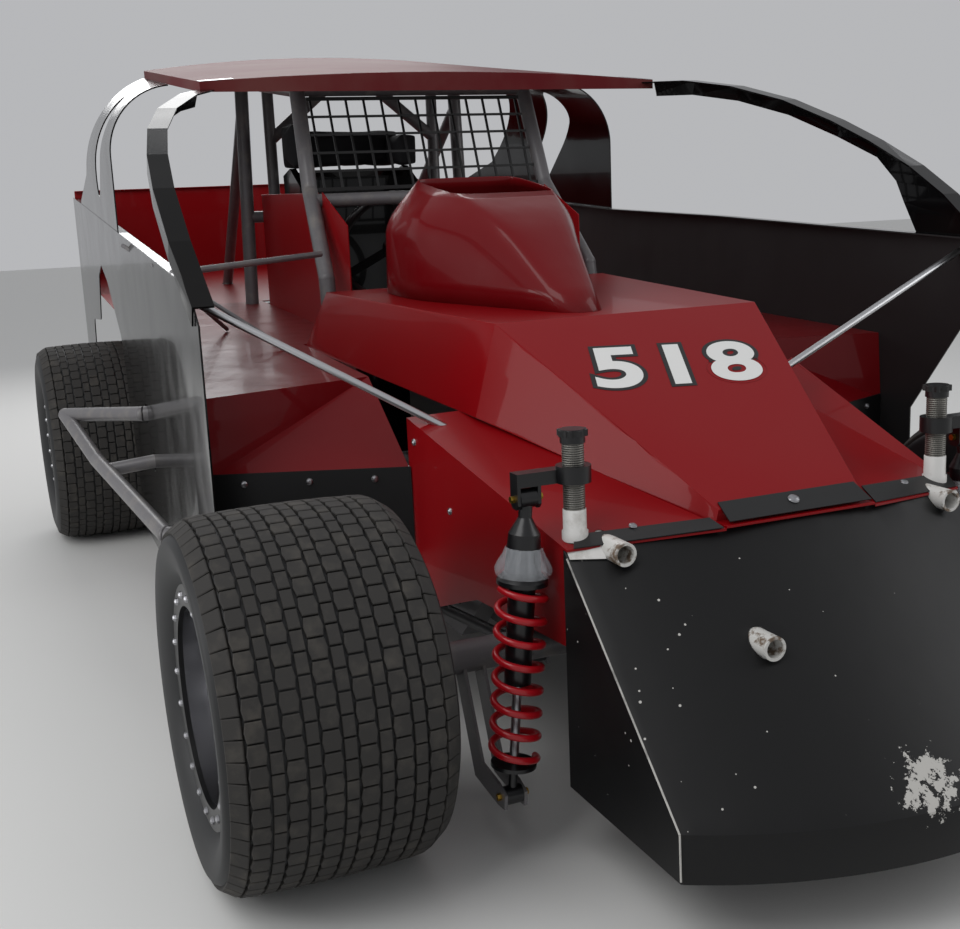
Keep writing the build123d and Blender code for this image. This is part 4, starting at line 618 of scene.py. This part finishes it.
def block_mesh(name, half_x, half_y, bulge):
    """A tread block with a chamfered top: its long way round the tyre, its sides pointed by the bulge."""
    outline = [(-half_x, -half_y), (half_x, -half_y), (half_x + bulge, 0), (half_x, half_y),
               (-half_x, half_y), (-half_x - bulge, 0)]
    rings = [(1.0, -TREAD_DEEP - BLOCK_ROOT), (1.0, -BLOCK_CHAMFER), (BLOCK_TOP_SHARE, 0.0)]
    verts = [(x * k, y * k, z) for k, z in rings for x, y in outline]
    count = len(outline)
    return mesh_of(name, verts, band(len(rings), count) + [tuple(range(2 * count, 3 * count))])


def tread_radius(across, radius, half):
    """Radius of the tread's top, with the crown and shoulder of the node tree."""
    past = max(abs(across) - (half - SHOULDER_WIDE), 0.0)
    return radius - (across / half) ** 2 * CROWN - past * past * SHOULDER


def carcass_line(radius, half):
    """Line of the tyre's outside from one bead to the other, at the grooves' floor."""
    tread_half = half - TREAD_EDGE
    end_radius = tread_radius(tread_half, radius, half) - TREAD_DEEP
    side = [*SIDE_LINE, (half - 0.0005, SIDE_TOP),
            (half - 0.001, 0.6 * SIDE_TOP + 0.4 * end_radius),
            (half - 0.005, 0.25 * SIDE_TOP + 0.75 * end_radius)]
    across = [tread_half * (1 - 2 * i / CREST_STEPS) for i in range(CREST_STEPS + 1)]
    crest = [(x, tread_radius(x, radius, half) - TREAD_DEEP) for x in across]
    inside = [(-x, BEAD_RADIUS) for x in (BEAD_HALF, INNER_HALF, -INNER_HALF, -BEAD_HALF)]
    return [(BEAD_HALF, BEAD_RADIUS), *side, *crest, *((-x, r) for x, r in reversed(side)), *inside]


def dress_tyre(end, side, radius, half, centre):
    """One tyre: smooth carcass with its tread blocks."""
    body = f"wheel_{end}_{side}"
    pitch = 2 * half / COLUMN_PITCHES
    shared = {"Rows": ROWS, "Radius": radius - ABOVE_FLOOR, "Half Width": half, "Crown": CROWN,
              "Shoulder": SHOULDER, "Flat Half": half - SHOULDER_WIDE, "Rubber": dusty_rubber}
    edge_at = LAST_COLUMN_ENDS * pitch + EDGE_BLOCK_GAP + EDGE_BLOCK_HALF
    # Each kind of block: its columns, their pitch, the shift of its rows, half width and bulge.
    kinds = [("hexes", 6, 2 * pitch, 0.5, HEX_HALF_SHARE * pitch, HEX_BULGE),
             ("bricks", 5, 2 * pitch, 0.0, BRICK_HALF_SHARE * pitch, 0.0),
             ("edges", 2, 2 * edge_at, 0.25, EDGE_BLOCK_HALF, 0.0)]
    meshes = []
    for kind, columns, step, phase, half_x, bulge in kinds:
        block = block_mesh(f"{kind}_block", half_x, pi * radius / ROWS - HALF_GROOVE, bulge)
        meshes.append(realized(f"{kind}_{end}_{side}", block, tread_tree, tread_inputs,
                               {**shared, "Columns": columns, "Pitch": step, "Phase": phase}))
    turned = mesh_of("turned", *lathe(carcass_line(radius, half), CARCASS_TURNS))
    tread_name, carcass_name = f"tread_{end}_{side}", f"carcass_{end}_{side}"
    treads = finished(tread_name, merged(tread_name, meshes, centre), dusty_rubber,
                      body)
    walls = finished(carcass_name, merged(carcass_name, [turned], centre), rubber,
                     body, smooth=True)
    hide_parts(f"tyre_{end}_{side}")
    return treads


print("tread of", ROWS, "rows, grooves", TREAD_DEEP * 1000, "mm deep")

# %% Four tyres
WHEELS = []
for end in ("front", "rear"):
    for side in ("right", "left"):
        low, high = box_of(f"tyre_{end}_{side}")
        centre = [(a + b) / 2 for a, b in zip(low, high)]
        WHEELS.append((end, side, (high[2] - low[2]) / 2, (high[0] - low[0]) / 2, centre))
for wheel_row in WHEELS:
    made = dress_tyre(*wheel_row)
    print(made.name, len(made.data.polygons), "faces")

# %% [markdown]
# ## Bead-lock bolts
# On dirt cars the outer bead is clamped under a ring by a circle of bolts, so that the tyre can run
# at low pressure without coming off. The heads stand proud of the ring and catch the light. They
# repeat round a circle, so a small node tree sets one head on each point of a ring.

# %% Bolts on the rings
BOLTS = 20
BOLT_CIRCLE = 0.1955
BOLT_RADIUS, BOLT_HEAD = 0.0075, 0.006
RING_FACE = 0.177
ring_tree, given, ring_inputs = node_tree("bolts_on_a_ring", {
    "Bolts": WHOLE, "Ring Radius": NUMBER, "Metal": MATERIAL})
ring = add_node(ring_tree, "GeometryNodeMeshCircle", {
    "Vertices": given["Bolts"], "Radius": given["Ring Radius"]})
upright = add_node(ring_tree, "GeometryNodeTransform", {
    "Geometry": ring, "Rotation": (0.0, -pi / 2, 0.0)})
set_bolts = add_node(ring_tree, "GeometryNodeInstanceOnPoints", {
    "Points": upright, "Instance": given["Geometry"]})
end_tree(ring_tree, set_bolts, given["Metal"])
for end, side, radius, half, centre in WHEELS:
    sign = -1 if side == "right" else 1
    one_bolt = mesh_of("one_bolt", *heads([(0, 0, 0)], BOLT_RADIUS, BOLT_HEAD, (sign, 0, 0), 6))
    bolt_ring = realized("bolt_ring", one_bolt, ring_tree, ring_inputs, {
        "Bolts": BOLTS, "Ring Radius": BOLT_CIRCLE, "Metal": steel})
    bolt_ring.transform(Matrix.Translation((centre[0] + sign * RING_FACE, centre[1], centre[2])))
    finished(f"bead_bolts_{end}_{side}", bolt_ring, steel, f"wheel_{end}_{side}")
print("bolts", BOLTS, "a wheel")

# %% [markdown]
# ## Springs
# The car's springs are wound from round wire, and their last turns hide in the seats. A spiral curve
# that a round section follows is exactly that, so the node tree draws the spiral and sweeps the wire.

# %% Springs as round wire
COILS = [((0.530, -0.180, 0.130), (0.482, -0.180, 0.668)),
         ((0.540, 2.880, 0.262), (0.486, 2.900, 0.742))]
SPRING_LOW = 0.062
SPRING_TOP_BELOW_HEAD = 0.152
WIRE = 0.0065
WIRE_END = WIRE * cos(radians(30)) + 0.0004
SPRING_TURNS, SPRING_RADIUS = 7.5, 0.041
spring_tree, given, spring_inputs = node_tree("coil_spring", {
    "Turns": NUMBER, "Coil Radius": NUMBER, "Height": NUMBER, "Wire Radius": NUMBER,
    "Paint": MATERIAL})
spiral = add_node(spring_tree, "GeometryNodeCurveSpiral", {
    "Resolution": 40, "Rotations": given["Turns"], "Start Radius": given["Coil Radius"],
    "End Radius": given["Coil Radius"], "Height": given["Height"]})
section = add_node(spring_tree, "GeometryNodeCurvePrimitiveCircle", {
    "Resolution": 12, "Radius": given["Wire Radius"]})
wound = add_node(spring_tree, "GeometryNodeCurveToMesh", {
    "Curve": spiral, "Profile Curve": section, "Fill Caps": True})
end_tree(spring_tree, wound, given["Paint"])


def coil_frame(foot, head, sign):
    """Matrix at a coil-over's foot with Z along it, and its length."""
    a, b = (Vector(at(sign * p[0], p[1], p[2])) for p in (foot, head))
    z = (b - a).normalized()
    x = Vector((0, 1, 0)).cross(z).normalized()
    turn = Matrix((x, z.cross(x), z)).transposed()
    return Matrix.Translation(a) @ turn.to_4x4(), (b - a).length


coils = []
for foot, head in COILS:
    for sign in (-1, 1):
        matrix, length = coil_frame(foot, head, sign)
        tall = length - SPRING_TOP_BELOW_HEAD - SPRING_LOW - 2 * WIRE_END
        coil = realized("coil", bpy.data.meshes.new("start"), spring_tree, spring_inputs, {
            "Turns": SPRING_TURNS, "Coil Radius": SPRING_RADIUS, "Height": tall,
            "Wire Radius": WIRE, "Paint": spring_red})
        coil.transform(matrix @ Matrix.Translation((0, 0, SPRING_LOW + WIRE_END)))
        coils.append(coil)
coil_springs = finished("coil_springs", merged("coil_springs", coils), spring_red,
                        smooth=True)
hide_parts("springs")
print("springs", len(coil_springs.data.polygons), "faces")

# %% [markdown]
# ## Head surround
# The head surround is blocks of foam in a black cloth cover. The cloth is sewn flat and the foam
# fills it out, so each face is crowned and the edges are round. A cloth simulation with a little
# pressure inside blows the blocks up in the same way, and the result is kept as a plain mesh.

# %% Head surround as padded cloth
PAD_INSET = 0.006
PAD_VOXEL = 0.006
PAD_CAP = 0.011
PAD_PRESSURE = 4.0
PAD_STEPS = 20


def applied(obj):
    """The mesh with its modifiers applied, left on the object without them."""
    mesh = evaluated_mesh(obj)
    obj.modifiers.clear()
    obj.data = mesh
    return mesh


def drawn_in(node_name):
    """A merged copy of a node's mesh, a little smaller all round."""
    shape = bmesh.new()
    shape.from_mesh(nodes[node_name].data)
    bmesh.ops.remove_doubles(shape, verts=shape.verts, dist=1e-5)
    bmesh.ops.recalc_face_normals(shape, faces=shape.faces)
    for vert in shape.verts:
        vert.normal_update()
    moves = [(vert, -vert.normal * PAD_INSET) for vert in shape.verts]
    for vert, move in moves:
        vert.co += move
    mesh = bpy.data.meshes.new(node_name + "_small")
    shape.to_mesh(mesh)
    shape.free()
    return mesh


def pad_from(node_name, name):
    """A padded copy of a node: remeshed, blown up by pressure up to the cap, and smoothed."""
    obj = linked(name, drawn_in(node_name))
    remesh = obj.modifiers.new("remesh", "REMESH")
    remesh.mode, remesh.voxel_size = "VOXEL", PAD_VOXEL
    kept = applied(obj)
    start = [v.co.copy() for v in kept.vertices]
    cloth = obj.modifiers.new("cloth", "CLOTH")
    cloth.settings.use_pressure = True
    cloth.settings.uniform_pressure_force = PAD_PRESSURE
    cloth.settings.effector_weights.gravity = 0.0
    for step in range(1, PAD_STEPS + 1):
        bpy.context.scene.frame_set(step)
    kept = applied(obj)
    for vert, was in zip(kept.vertices, start):
        move = vert.co - was
        if move.length > PAD_CAP:
            vert.co = was + move.normalized() * PAD_CAP
    bpy.context.scene.frame_set(1)
    smooth = obj.modifiers.new("smooth", "SUBSURF")
    smooth.levels = smooth.render_levels = 1
    kept = applied(obj)
    bpy.data.objects.remove(obj)
    return kept


head_pad = finished("head_pad", pad_from("headrest", "head_pad_start"), cushion_black,
                    smooth=True)
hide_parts("headrest")
print("head pad", len(head_pad.data.polygons), "faces")

# %% [markdown]
# ## Cowl hump
# The hump ahead of the driver is one sheet, drawn over a form so that it has no sharp edges, and
# open on top. Three six-sided rings give its foot on the hood, its waist and its rim. Cutting the
# corners of the rings, and of the line between them, gives the rounded sheet of the real one.

# %% Cowl hump as a rounded sheet
HUMP_X = -0.0725
HUMP_FOOT = [(0.225, 1.120), (0.225, 0.830), (0.0425, 0.355)]
HUMP_WAIST = [(0.225, 1.100), (0.2175, 0.840), (0.0925, 0.620)]
HUMP_RIM = [(0.1425, 1.040), (0.1425, 0.860), (0.1325, 0.760)]
WAIST_Z = 1.130
RIM_LINE = ((0.760, 1.187), (1.040, 1.232))
HOOD_LINE = ((0.298, 0.920), (1.200, 0.948))
HOOD_GAP = 0.0006
HUMP_SHEET = 0.0025
WALL_ROWS = (0.0, 0.25, 0.5, 0.72)
BEND_FROM, BEND_TO, BEND_ROWS = 0.8, 0.45, 6
RIM_ROWS = (0.75, 1.0)


def cut_corners(ring, rounds=3, share=0.12):
    """A closed ring with its corners cut again and again until it is round."""
    for _ in range(rounds):
        ring = [p.lerp(q, k) for p, q in zip(ring, ring[1:] + ring[:1]) for k in (share, 1 - share)]
        share = 0.25
    return ring


def hump_ring(spots, height):
    """Ring of (half width, y) spots mirrored about the hump's middle, each at its height."""
    right = [Vector(at(HUMP_X + h, y, height(y))) for h, y in spots]
    left = [Vector(at(HUMP_X - h, y, height(y))) for h, y in reversed(spots)]
    return cut_corners(right + left)


foot_ring = hump_ring(HUMP_FOOT, lambda y: between(*HOOD_LINE, y) + HOOD_GAP)
waist_ring = hump_ring(HUMP_WAIST, lambda y: WAIST_Z)
rim_ring = hump_ring(HUMP_RIM, lambda y: between(*RIM_LINE, y))
rows = [[f.lerp(w, k) for f, w in zip(foot_ring, waist_ring)] for k in WALL_ROWS]
for i in range(BEND_ROWS + 1):
    t = i / BEND_ROWS
    rows.append([f.lerp(w, BEND_FROM).lerp(w, t).lerp(w.lerp(w.lerp(r, BEND_TO), t), t)
                 for f, w, r in zip(foot_ring, waist_ring, rim_ring)])
rows += [[w.lerp(r, k) for w, r in zip(waist_ring, rim_ring)] for k in RIM_ROWS]
hump_faces = band(len(rows), len(foot_ring))
# The hump's darker red is painted shade.
hump = piece("cowl_hump", [spot for row in rows for spot in row], hump_faces, shaded_red, "body_red",
             smooth=True)
wall = hump.modifiers.new("sheet", "SOLIDIFY")
wall.thickness, wall.offset = HUMP_SHEET, -1.0
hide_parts("cowl_scoop")
print("hump", len(hump_faces), "faces")

# %% [markdown]
# ## Number
# The car carries a plain three-digit number on the hood's front, in white with a black border. It
# is cut from vinyl, so it lies flat on the panel and is a fraction of a millimetre thick.

# %% Number on the hood
HOOD_LOW = Vector(at(0, -0.270, 0.621))
HOOD_HIGH = Vector(at(0, 0.298, 0.920))
HOOD_RIGHT = Vector((1, 0, 0))
HOOD_UP = (HOOD_HIGH - HOOD_LOW).normalized()
HOOD_OUT = HOOD_RIGHT.cross(HOOD_UP)
NUMBER_TEXT = "518"
NUMBER_TALL, NUMBER_WIDER, NUMBER_SLANT = 0.190, 1.25, 0.18
NUMBER_UP, NUMBER_ACROSS = 0.432, -0.012
NUMBER_TURN = radians(-4)
NUMBER_SPACED = 1.12
VINYL_HALF = 0.00025
BORDER_WEIGHT, BORDER_LIFT = 0.0135, 0.0004
DIGIT_WEIGHT, DIGIT_LIFT = 0.0055, 0.0009


def lettering(weight, lift, material, name):
    """The number's digits on the hood's front, made bolder by the weight and lifted off the panel."""
    data = bpy.data.curves.new(name, "FONT")
    data.body, data.size, data.offset, data.extrude = NUMBER_TEXT, NUMBER_TALL, weight, VINYL_HALF
    data.align_x, data.align_y = "CENTER", "CENTER"
    data.shear, data.space_character = NUMBER_SLANT, NUMBER_SPACED
    holder = linked(name, data)
    mesh = evaluated_mesh(holder)
    bpy.data.objects.remove(holder)
    stretch = Matrix.Rotation(NUMBER_TURN, 4, "Z") @ Matrix.Scale(NUMBER_WIDER, 4, (1, 0, 0))
    turn = Matrix((HOOD_RIGHT, HOOD_UP, HOOD_OUT)).transposed().to_4x4()
    middle = HOOD_LOW + HOOD_UP * NUMBER_UP + HOOD_RIGHT * NUMBER_ACROSS + HOOD_OUT * lift
    mesh.transform(Matrix.Translation(middle) @ turn @ stretch)
    return finished(name, mesh, material)


lettering(BORDER_WEIGHT, BORDER_LIFT, decal_black, "number_border")
lettering(DIGIT_WEIGHT, DIGIT_LIFT, decal_white, "number_digits")
print("number on the hood, facing", [round(v, 2) for v in HOOD_OUT])

# %% [markdown]
# ## Rubber flaps and screws at the nose
# Strips of rubber belt cover the joint between the hood and the nose, held by quarter-turn screws,
# so that dirt doesn't get in when the car pushes through it. Each strip is a flat sheet through four
# corners.

# %% Flaps over the joint
FLAP_THICK = 0.002
FLAPS = [
    [(-0.150, -0.300, 0.6045), (0.156, -0.300, 0.6045), (0.150, -0.256, 0.6295),
     (-0.146, -0.256, 0.6295)],
    [(0.166, -0.300, 0.5975), (0.425, -0.226, 0.5800), (0.452, -0.170, 0.5945),
     (0.182, -0.240, 0.6140)],
    [(-0.420, -0.232, 0.5800), (-0.166, -0.306, 0.5975), (-0.172, -0.270, 0.6080),
     (-0.400, -0.196, 0.5930)]]
# Each row: spots, radius of the head, its height, the way it faces, its sides.
SCREWS = [
    ([(0.002, -0.276, 0.6215)], 0.011, 0.005, HOOD_OUT, 16),
    ([(0.300, -0.222, 0.604), (-0.300, -0.226, 0.603)], 0.008, 0.004, (0, -0.25, 1), 14),
    ([(-0.306, 0.262, 0.7185)], 0.009, 0.012, (-0.1, -0.3, 1), 12),
    ([(-0.184, -0.150, 0.637)], 0.007, 0.003, (0, -0.3, 1), 12)]
flaps = [slab([at(*corner) for corner in corners], FLAP_THICK) for corners in FLAPS]
piece("joint_flaps", *joined(*flaps), plastic_black, "plastic_black")
screws = [heads([at(*spot) for spot in spots], *size) for spots, *size in SCREWS]
piece("hood_screws", *joined(*screws), steel, "rim_alloy")
print("flaps", len(FLAPS), "and screws", sum(len(row[0]) for row in SCREWS))

# %% [markdown]
# ## Bolts of the skirts and the inner wall
# The skirts under the decks hang on three bolts a side. They stand at set shares of the skirt's
# length, so that they follow its slant. Three more hold the wall beside the engine.

# %% Bolts along the deck skirts and on the inner wall
SKIRT_OUT, SKIRT_IN = (0.8935, 0.5465), (0.4925, 0.3795)
SKIRT_SHARES = (0.18, 0.5, 0.82)
SKIRT_PROUD = 0.0025
SKIRT_BOLT_Z = 0.602
BODY_BOLT_RADIUS, SKIRT_HEAD, WALL_HEAD, BODY_BOLT_SIDES = 0.008, 0.005, 0.006, 12
WALL_BOLTS = [(-0.472, 0.21, 0.56), (-0.488, 0.36, 0.68), (-0.44, -0.12, 0.42)]
skirt_bolts = []
for sign in (-1, 1):
    for share in SKIRT_SHARES:
        x, y = (a + (b - a) * share for a, b in zip(SKIRT_OUT, SKIRT_IN))
        skirt_bolts.append(at(sign * x, y - SKIRT_PROUD, SKIRT_BOLT_Z))
skirt_heads = heads(skirt_bolts, BODY_BOLT_RADIUS, SKIRT_HEAD, (0, -1, 0), BODY_BOLT_SIDES)
piece("skirt_bolts", *skirt_heads, steel, "rim_alloy")
wall_bolts = [at(*spot) for spot in WALL_BOLTS]
wall_heads = heads(wall_bolts, BODY_BOLT_RADIUS, WALL_HEAD, (-1, 0, 0), BODY_BOLT_SIDES)
piece("wall_bolts", *wall_heads, steel, "rim_alloy")
print("bolts on skirts", len(skirt_bolts), "and wall", len(wall_bolts))

# %% [markdown]
# ## Film bag
# The damper's clear bag keeps dirt off its rod seal: thin film gathered under the spring collar. It
# is a turned shape whose radius wanders with a wave and a little chance, which makes its wrinkles.

# %% Film bags on the front dampers
# Thin blown film: nearly clear, with small sharp reflections broken up by its creases.
CREASE_SIZE, CREASE_DEEP = 0.012, 0.004
film, film_tree, film_spot = empty_material("clear_polyethylene_film")
surfaced(film, {"Base Color": linear("#c9cdd2"), "Roughness": 0.22, "Alpha": 0.33, "IOR": 1.5,
                "Normal": wavy(film_tree, film_spot, CREASE_SIZE, 3, CREASE_DEEP)})
FILM_TURNS = 72
FILM_WAVES = 11
# Each ring: height above the collar, radius, depth of its wrinkles.
FILM_RINGS = [(0.016, 0.047, 0.0004), (0.025, 0.050, 0.0022), (0.036, 0.045, 0.0036),
              (0.050, 0.037, 0.0026), (0.066, 0.0315, 0.0006)]
rng = Random(7)
wrinkle = [rng.uniform(-1, 1) for _ in range(FILM_TURNS)]


def film_bag(foot, head, sign):
    """One bag round a damper: rings of (height over the collar, radius, depth of wrinkles)."""
    matrix, length = coil_frame(foot, head, sign)
    collar = length - SPRING_TOP_BELOW_HEAD
    verts = []
    for above, radius, deep in FILM_RINGS:
        for k in range(FILM_TURNS):
            a = 2 * pi * k / FILM_TURNS
            reach = radius + deep * (0.7 * sin(FILM_WAVES * a) + 0.5 * wrinkle[k])
            verts.append(tuple(matrix @ Vector((reach * cos(a), reach * sin(a), collar + above))))
    return verts, band(len(FILM_RINGS), FILM_TURNS)


bags = [film_bag(*COILS[0], sign) for sign in (-1, 1)]
piece("damper_film", *joined(*bags), film, "plastic_black", smooth=True)
print("film bags", len(bags))

# %% [markdown]
# ## Posts, bolts and damper rods
# The post that carries the front damper's head is a threaded tube in a painted sleeve, with a
# star-shaped cap. The thread is turned from a zigzag line that repeats every 4 mm, coarse enough to
# show. A bolt goes through each eye of the coil-over, and its rod shows between body and seat.

# %% Post caps, threads, sleeves, bolts and rods
POST_X, POST_Y, POST_TOP = 0.398, -0.196, 0.782
CAP_LOBES, CAP_OUT, CAP_IN = 8, 0.027, 0.0225
CAP_LOW, CAP_HIGH = POST_TOP - 0.012, POST_TOP - 0.001
THREAD_FROM, THREAD_TO, THREAD_STEP = 0.600, 0.760, 0.002
THREAD_CREST, THREAD_ROOT = 0.0196, 0.0188
SLEEVE = [(0.585, 0.0232), (0.602, 0.0232), (0.604, 0.0208), (0.641, 0.0206), (0.6415, 0.0196)]
EYE_BOLTS = [(0.482, 0.668), (0.530, 0.130)]
EYE_Y, EYE_BOLT_HALF, EYE_BOLT_RADIUS = -0.180, 0.030, 0.0065
ROD_RADIUS, ROD_FROM = 0.0084, 0.064
ROD_ENDS_BELOW_HEAD = 0.337


def star_cap(middle):
    """Cap with lobes round its rim: two points of each four stand out."""
    steps = CAP_LOBES * 4
    reaches = [CAP_OUT if k % 4 in (0, 1) else CAP_IN for k in range(steps)]
    ring = [(middle[0] + reach * cos(2 * pi * k / steps), middle[1] + reach * sin(2 * pi * k / steps))
            for k, reach in enumerate(reaches)]
    return prism([(*spot, CAP_LOW) for spot in ring], [(*spot, CAP_HIGH) for spot in ring])


thread_steps = round((THREAD_TO - THREAD_FROM) / THREAD_STEP)
thread = [(THREAD_FROM + THREAD_STEP * i, THREAD_CREST if i % 2 else THREAD_ROOT)
          for i in range(thread_steps)]
caps, threads, sleeves, eye_bolts = [], [], [], []
for sign in (-1, 1):
    middle = at(sign * POST_X, POST_Y, 0)
    caps.append(star_cap(middle))
    threads.append(lathe(thread, 32, "Z", middle))
    sleeves.append(lathe(SLEEVE, 32, "Z", middle))
    for x, z in EYE_BOLTS:
        ends = [at(sign * x + reach, EYE_Y, z) for reach in (-EYE_BOLT_HALF, EYE_BOLT_HALF)]
        eye_bolts.append(tube(*ends, EYE_BOLT_RADIUS, 6))
piece("post_caps", *joined(*caps), plastic_black, "plastic_black")
piece("post_threads", *joined(*threads), threaded, "frame_grey")
piece("post_sleeves", *joined(*sleeves), white_paint, "frame_grey", smooth=True)
piece("coilover_bolts", *joined(*eye_bolts), brass, "rim_alloy")
rods = []
for foot, head in COILS:
    for sign in (-1, 1):
        matrix, length = coil_frame(foot, head, sign)
        ends = [matrix @ Vector((0, 0, z)) for z in (ROD_FROM, length - ROD_ENDS_BELOW_HEAD)]
        rods.append(tube(*ends, ROD_RADIUS, 20))
piece("damper_rods", *joined(*rods), steel, "rim_alloy")
print("thread", len(thread), "steps, damper rods", len(rods))

# %% [markdown]
# ## Thin rods
# Light rods steady the deck and the side panel. They are pushed on at their ends and can be knocked
# off and replaced in minutes, so they are plain round bars from one hole to another.

# %% Rods over the right deck
# Each rod: start, end, radius.
DECK_RODS = [((-0.884, 0.810, 1.040), (-0.430, 1.190, 1.050), 0.008),
             ((-0.880, 1.100, 1.050), (-0.620, 1.560, 0.838), 0.006),
             ((-0.880, 1.640, 1.090), (-0.560, 1.120, 0.815), 0.006)]
deck_rods = [tube(at(*start), at(*end), radius) for start, end, radius in DECK_RODS]
piece("deck_rods", *joined(*deck_rods), tube_grey, "frame_grey")
print("deck rods", len(deck_rods))

# %% [markdown]
# ## Worn edges
# Paint goes first where hands, mud and other cars touch: the flange along the right panel is bare
# metal, the nose's creases are rubbed through to primer, its corners are taped, and the roof's front
# corners are scraped. Each is a very thin sheet or bar on the panel, as a bright line of the right
# width matters more here than a soft edge.

# %% Bare flange, creases, tape and roof corners
FLANGE_Y = (0.60, 1.0, 1.5, 1.88)
FLANGE_WIDE, FLANGE_THICK = 0.027, 0.0006
FLANGE_IN, FLANGE_UP = 0.001, 0.0002
PANEL_X = ((0.440, 0.902), (3.745, 0.802))
PANEL_Z = ((0.548, 1.022), (3.745, 1.262))
CREASE = [(0.4302, -0.226, 0.5625), (0.4302, -0.5815, 0.217), (0.4302, -0.5835, 0.140)]
CREASE_RADIUS = 0.0018
TAPE = [(0.428, -0.2155, 0.581), (0.372, -0.2425, 0.581), (0.372, -0.2605, 0.563),
        (0.428, -0.2335, 0.563)]
TAPE_THICK = -0.0012
ROOF_CORNER = [(0.681, 1.3405, 1.5074), (0.590, 1.3405, 1.5137), (0.590, 1.385, 1.5196),
               (0.681, 1.385, 1.5133)]
ROOF_METAL_THICK = 0.0008


def strip(start, end):
    """Thin flat strip between two points on the panel's edge, its width towards the car."""
    side, rise = Vector((FLANGE_WIDE, 0, 0)), Vector((0, 0, FLANGE_THICK))
    low = [start, end, end + side, start + side]
    return prism(low, [spot + rise for spot in low])


flange = [Vector(at(FLANGE_IN - between(*PANEL_X, y), y, between(*PANEL_Z, y) + FLANGE_UP))
          for y in FLANGE_Y]
strips = [strip(start, end) for start, end in zip(flange, flange[1:])]
piece("flange_edge", *joined(*strips), bare_edge, "rim_alloy")
creases, tapes, scrapes = [], [], []
for sign in (-1, 1):
    line = [at(sign * x, y, z) for x, y, z in CREASE]
    creases += [tube(start, end, CREASE_RADIUS, 6) for start, end in zip(line, line[1:])]
    tapes.append(slab([at(sign * x, y, z) for x, y, z in TAPE], sign * TAPE_THICK))
    scrapes.append(slab([at(sign * x, y, z) for x, y, z in ROOF_CORNER], sign * ROOF_METAL_THICK))
piece("nose_worn_edges", *joined(*creases), worn_edge, "body_black")
piece("nose_corner_tape", *joined(*tapes), white_paint, "body_black")
piece("roof_corner_metal", *joined(*scrapes), bare_edge, "rim_alloy")
print("flange strips", len(strips), "creases", len(creases))

# %% [markdown]
# ## The studio
# A pale floor and a pale world around it make a plain background. Four large soft lamps show the
# form: one above and to the left, one from the right, one low along the right side panel, and one
# from behind that draws the car's outline.

# %% Floor, world and lamps
FLOOR_HALF = 30
WORLD_STRENGTH = 0.66
floor_corners = [(x * FLOOR_HALF, y * FLOOR_HALF, 0) for x, y in ((-1, -1), (1, -1), (1, 1), (-1, 1))]
floor = linked("floor", mesh_of("floor", floor_corners, [(0, 1, 2, 3)]))
floor.data.materials.append(studio_grey)

world = bpy.data.worlds.new("studio")
bpy.context.scene.world = world
world.use_nodes = True
background = world.node_tree.nodes["Background"].inputs
background["Color"].default_value = linear("#dcdde0")
background["Strength"].default_value = WORLD_STRENGTH

# Each lamp: where it stands, what it faces, its width and its power.
LAMPS = {
    "key": ((-3.4, -2.4, 4.6), (0, -0.5, 0.5), 3.5, 110),
    "fill": ((4.5, -3.5, 2.6), (0, -0.5, 0.6), 3.0, 50),
    "side": ((-4.6, -0.6, 1.5), (-0.9, -1.5, 0.4), 1.6, 34),
    "rim": ((0.5, 5.0, 4.0), (0, 0, 1.0), 3.5, 120)}
for name, (spot, target, size, power) in LAMPS.items():
    data = bpy.data.lights.new(name, "AREA")
    data.size, data.energy = size, power
    lamp = linked(name, data)
    lamp.location = spot
    lamp.rotation_euler = (Vector(target) - Vector(spot)).to_track_quat("-Z", "Y").to_euler()
print("lamps", len(LAMPS))

# %% [markdown]
# ## The camera
# The camera was solved from the photograph: where it stood, how it was turned, and its focal length
# in pixels of a frame 960 wide. A lens in millimetres on a 36 mm wide sensor gives the same angle.

# %% Camera
CAMERA_SPOT = (-1.351, -3.625, 1.167)
CAMERA_YAW = radians(22.436)
CAMERA_PITCH = radians(-11.805)
CAMERA_ROLL = radians(-2.523)
FOCAL_PX = 1254.858
FRAME_WIDE = 960
SENSOR_MM = 36.0

camera_data = bpy.data.cameras.new("camera")
camera_data.sensor_fit = "HORIZONTAL"
camera_data.sensor_width = SENSOR_MM
camera_data.lens = FOCAL_PX / FRAME_WIDE * SENSOR_MM
camera_data.clip_start = 0.05
camera = linked("camera", camera_data)
forward = Vector((sin(CAMERA_YAW) * cos(CAMERA_PITCH), cos(CAMERA_YAW) * cos(CAMERA_PITCH),
                  sin(CAMERA_PITCH)))
level_right = forward.cross(Vector((0, 0, 1))).normalized()
level_up = level_right.cross(forward)
right = level_right * cos(CAMERA_ROLL) + level_up * sin(CAMERA_ROLL)
up = -level_right * sin(CAMERA_ROLL) + level_up * cos(CAMERA_ROLL)
turn = Matrix((right, up, -forward)).transposed()
camera.matrix_world = Matrix.Translation(CAMERA_SPOT) @ turn.to_4x4()
bpy.context.scene.camera = camera
bpy.context.scene.view_settings.view_transform = "Standard"
print("lens", round(camera_data.lens, 2), "mm")
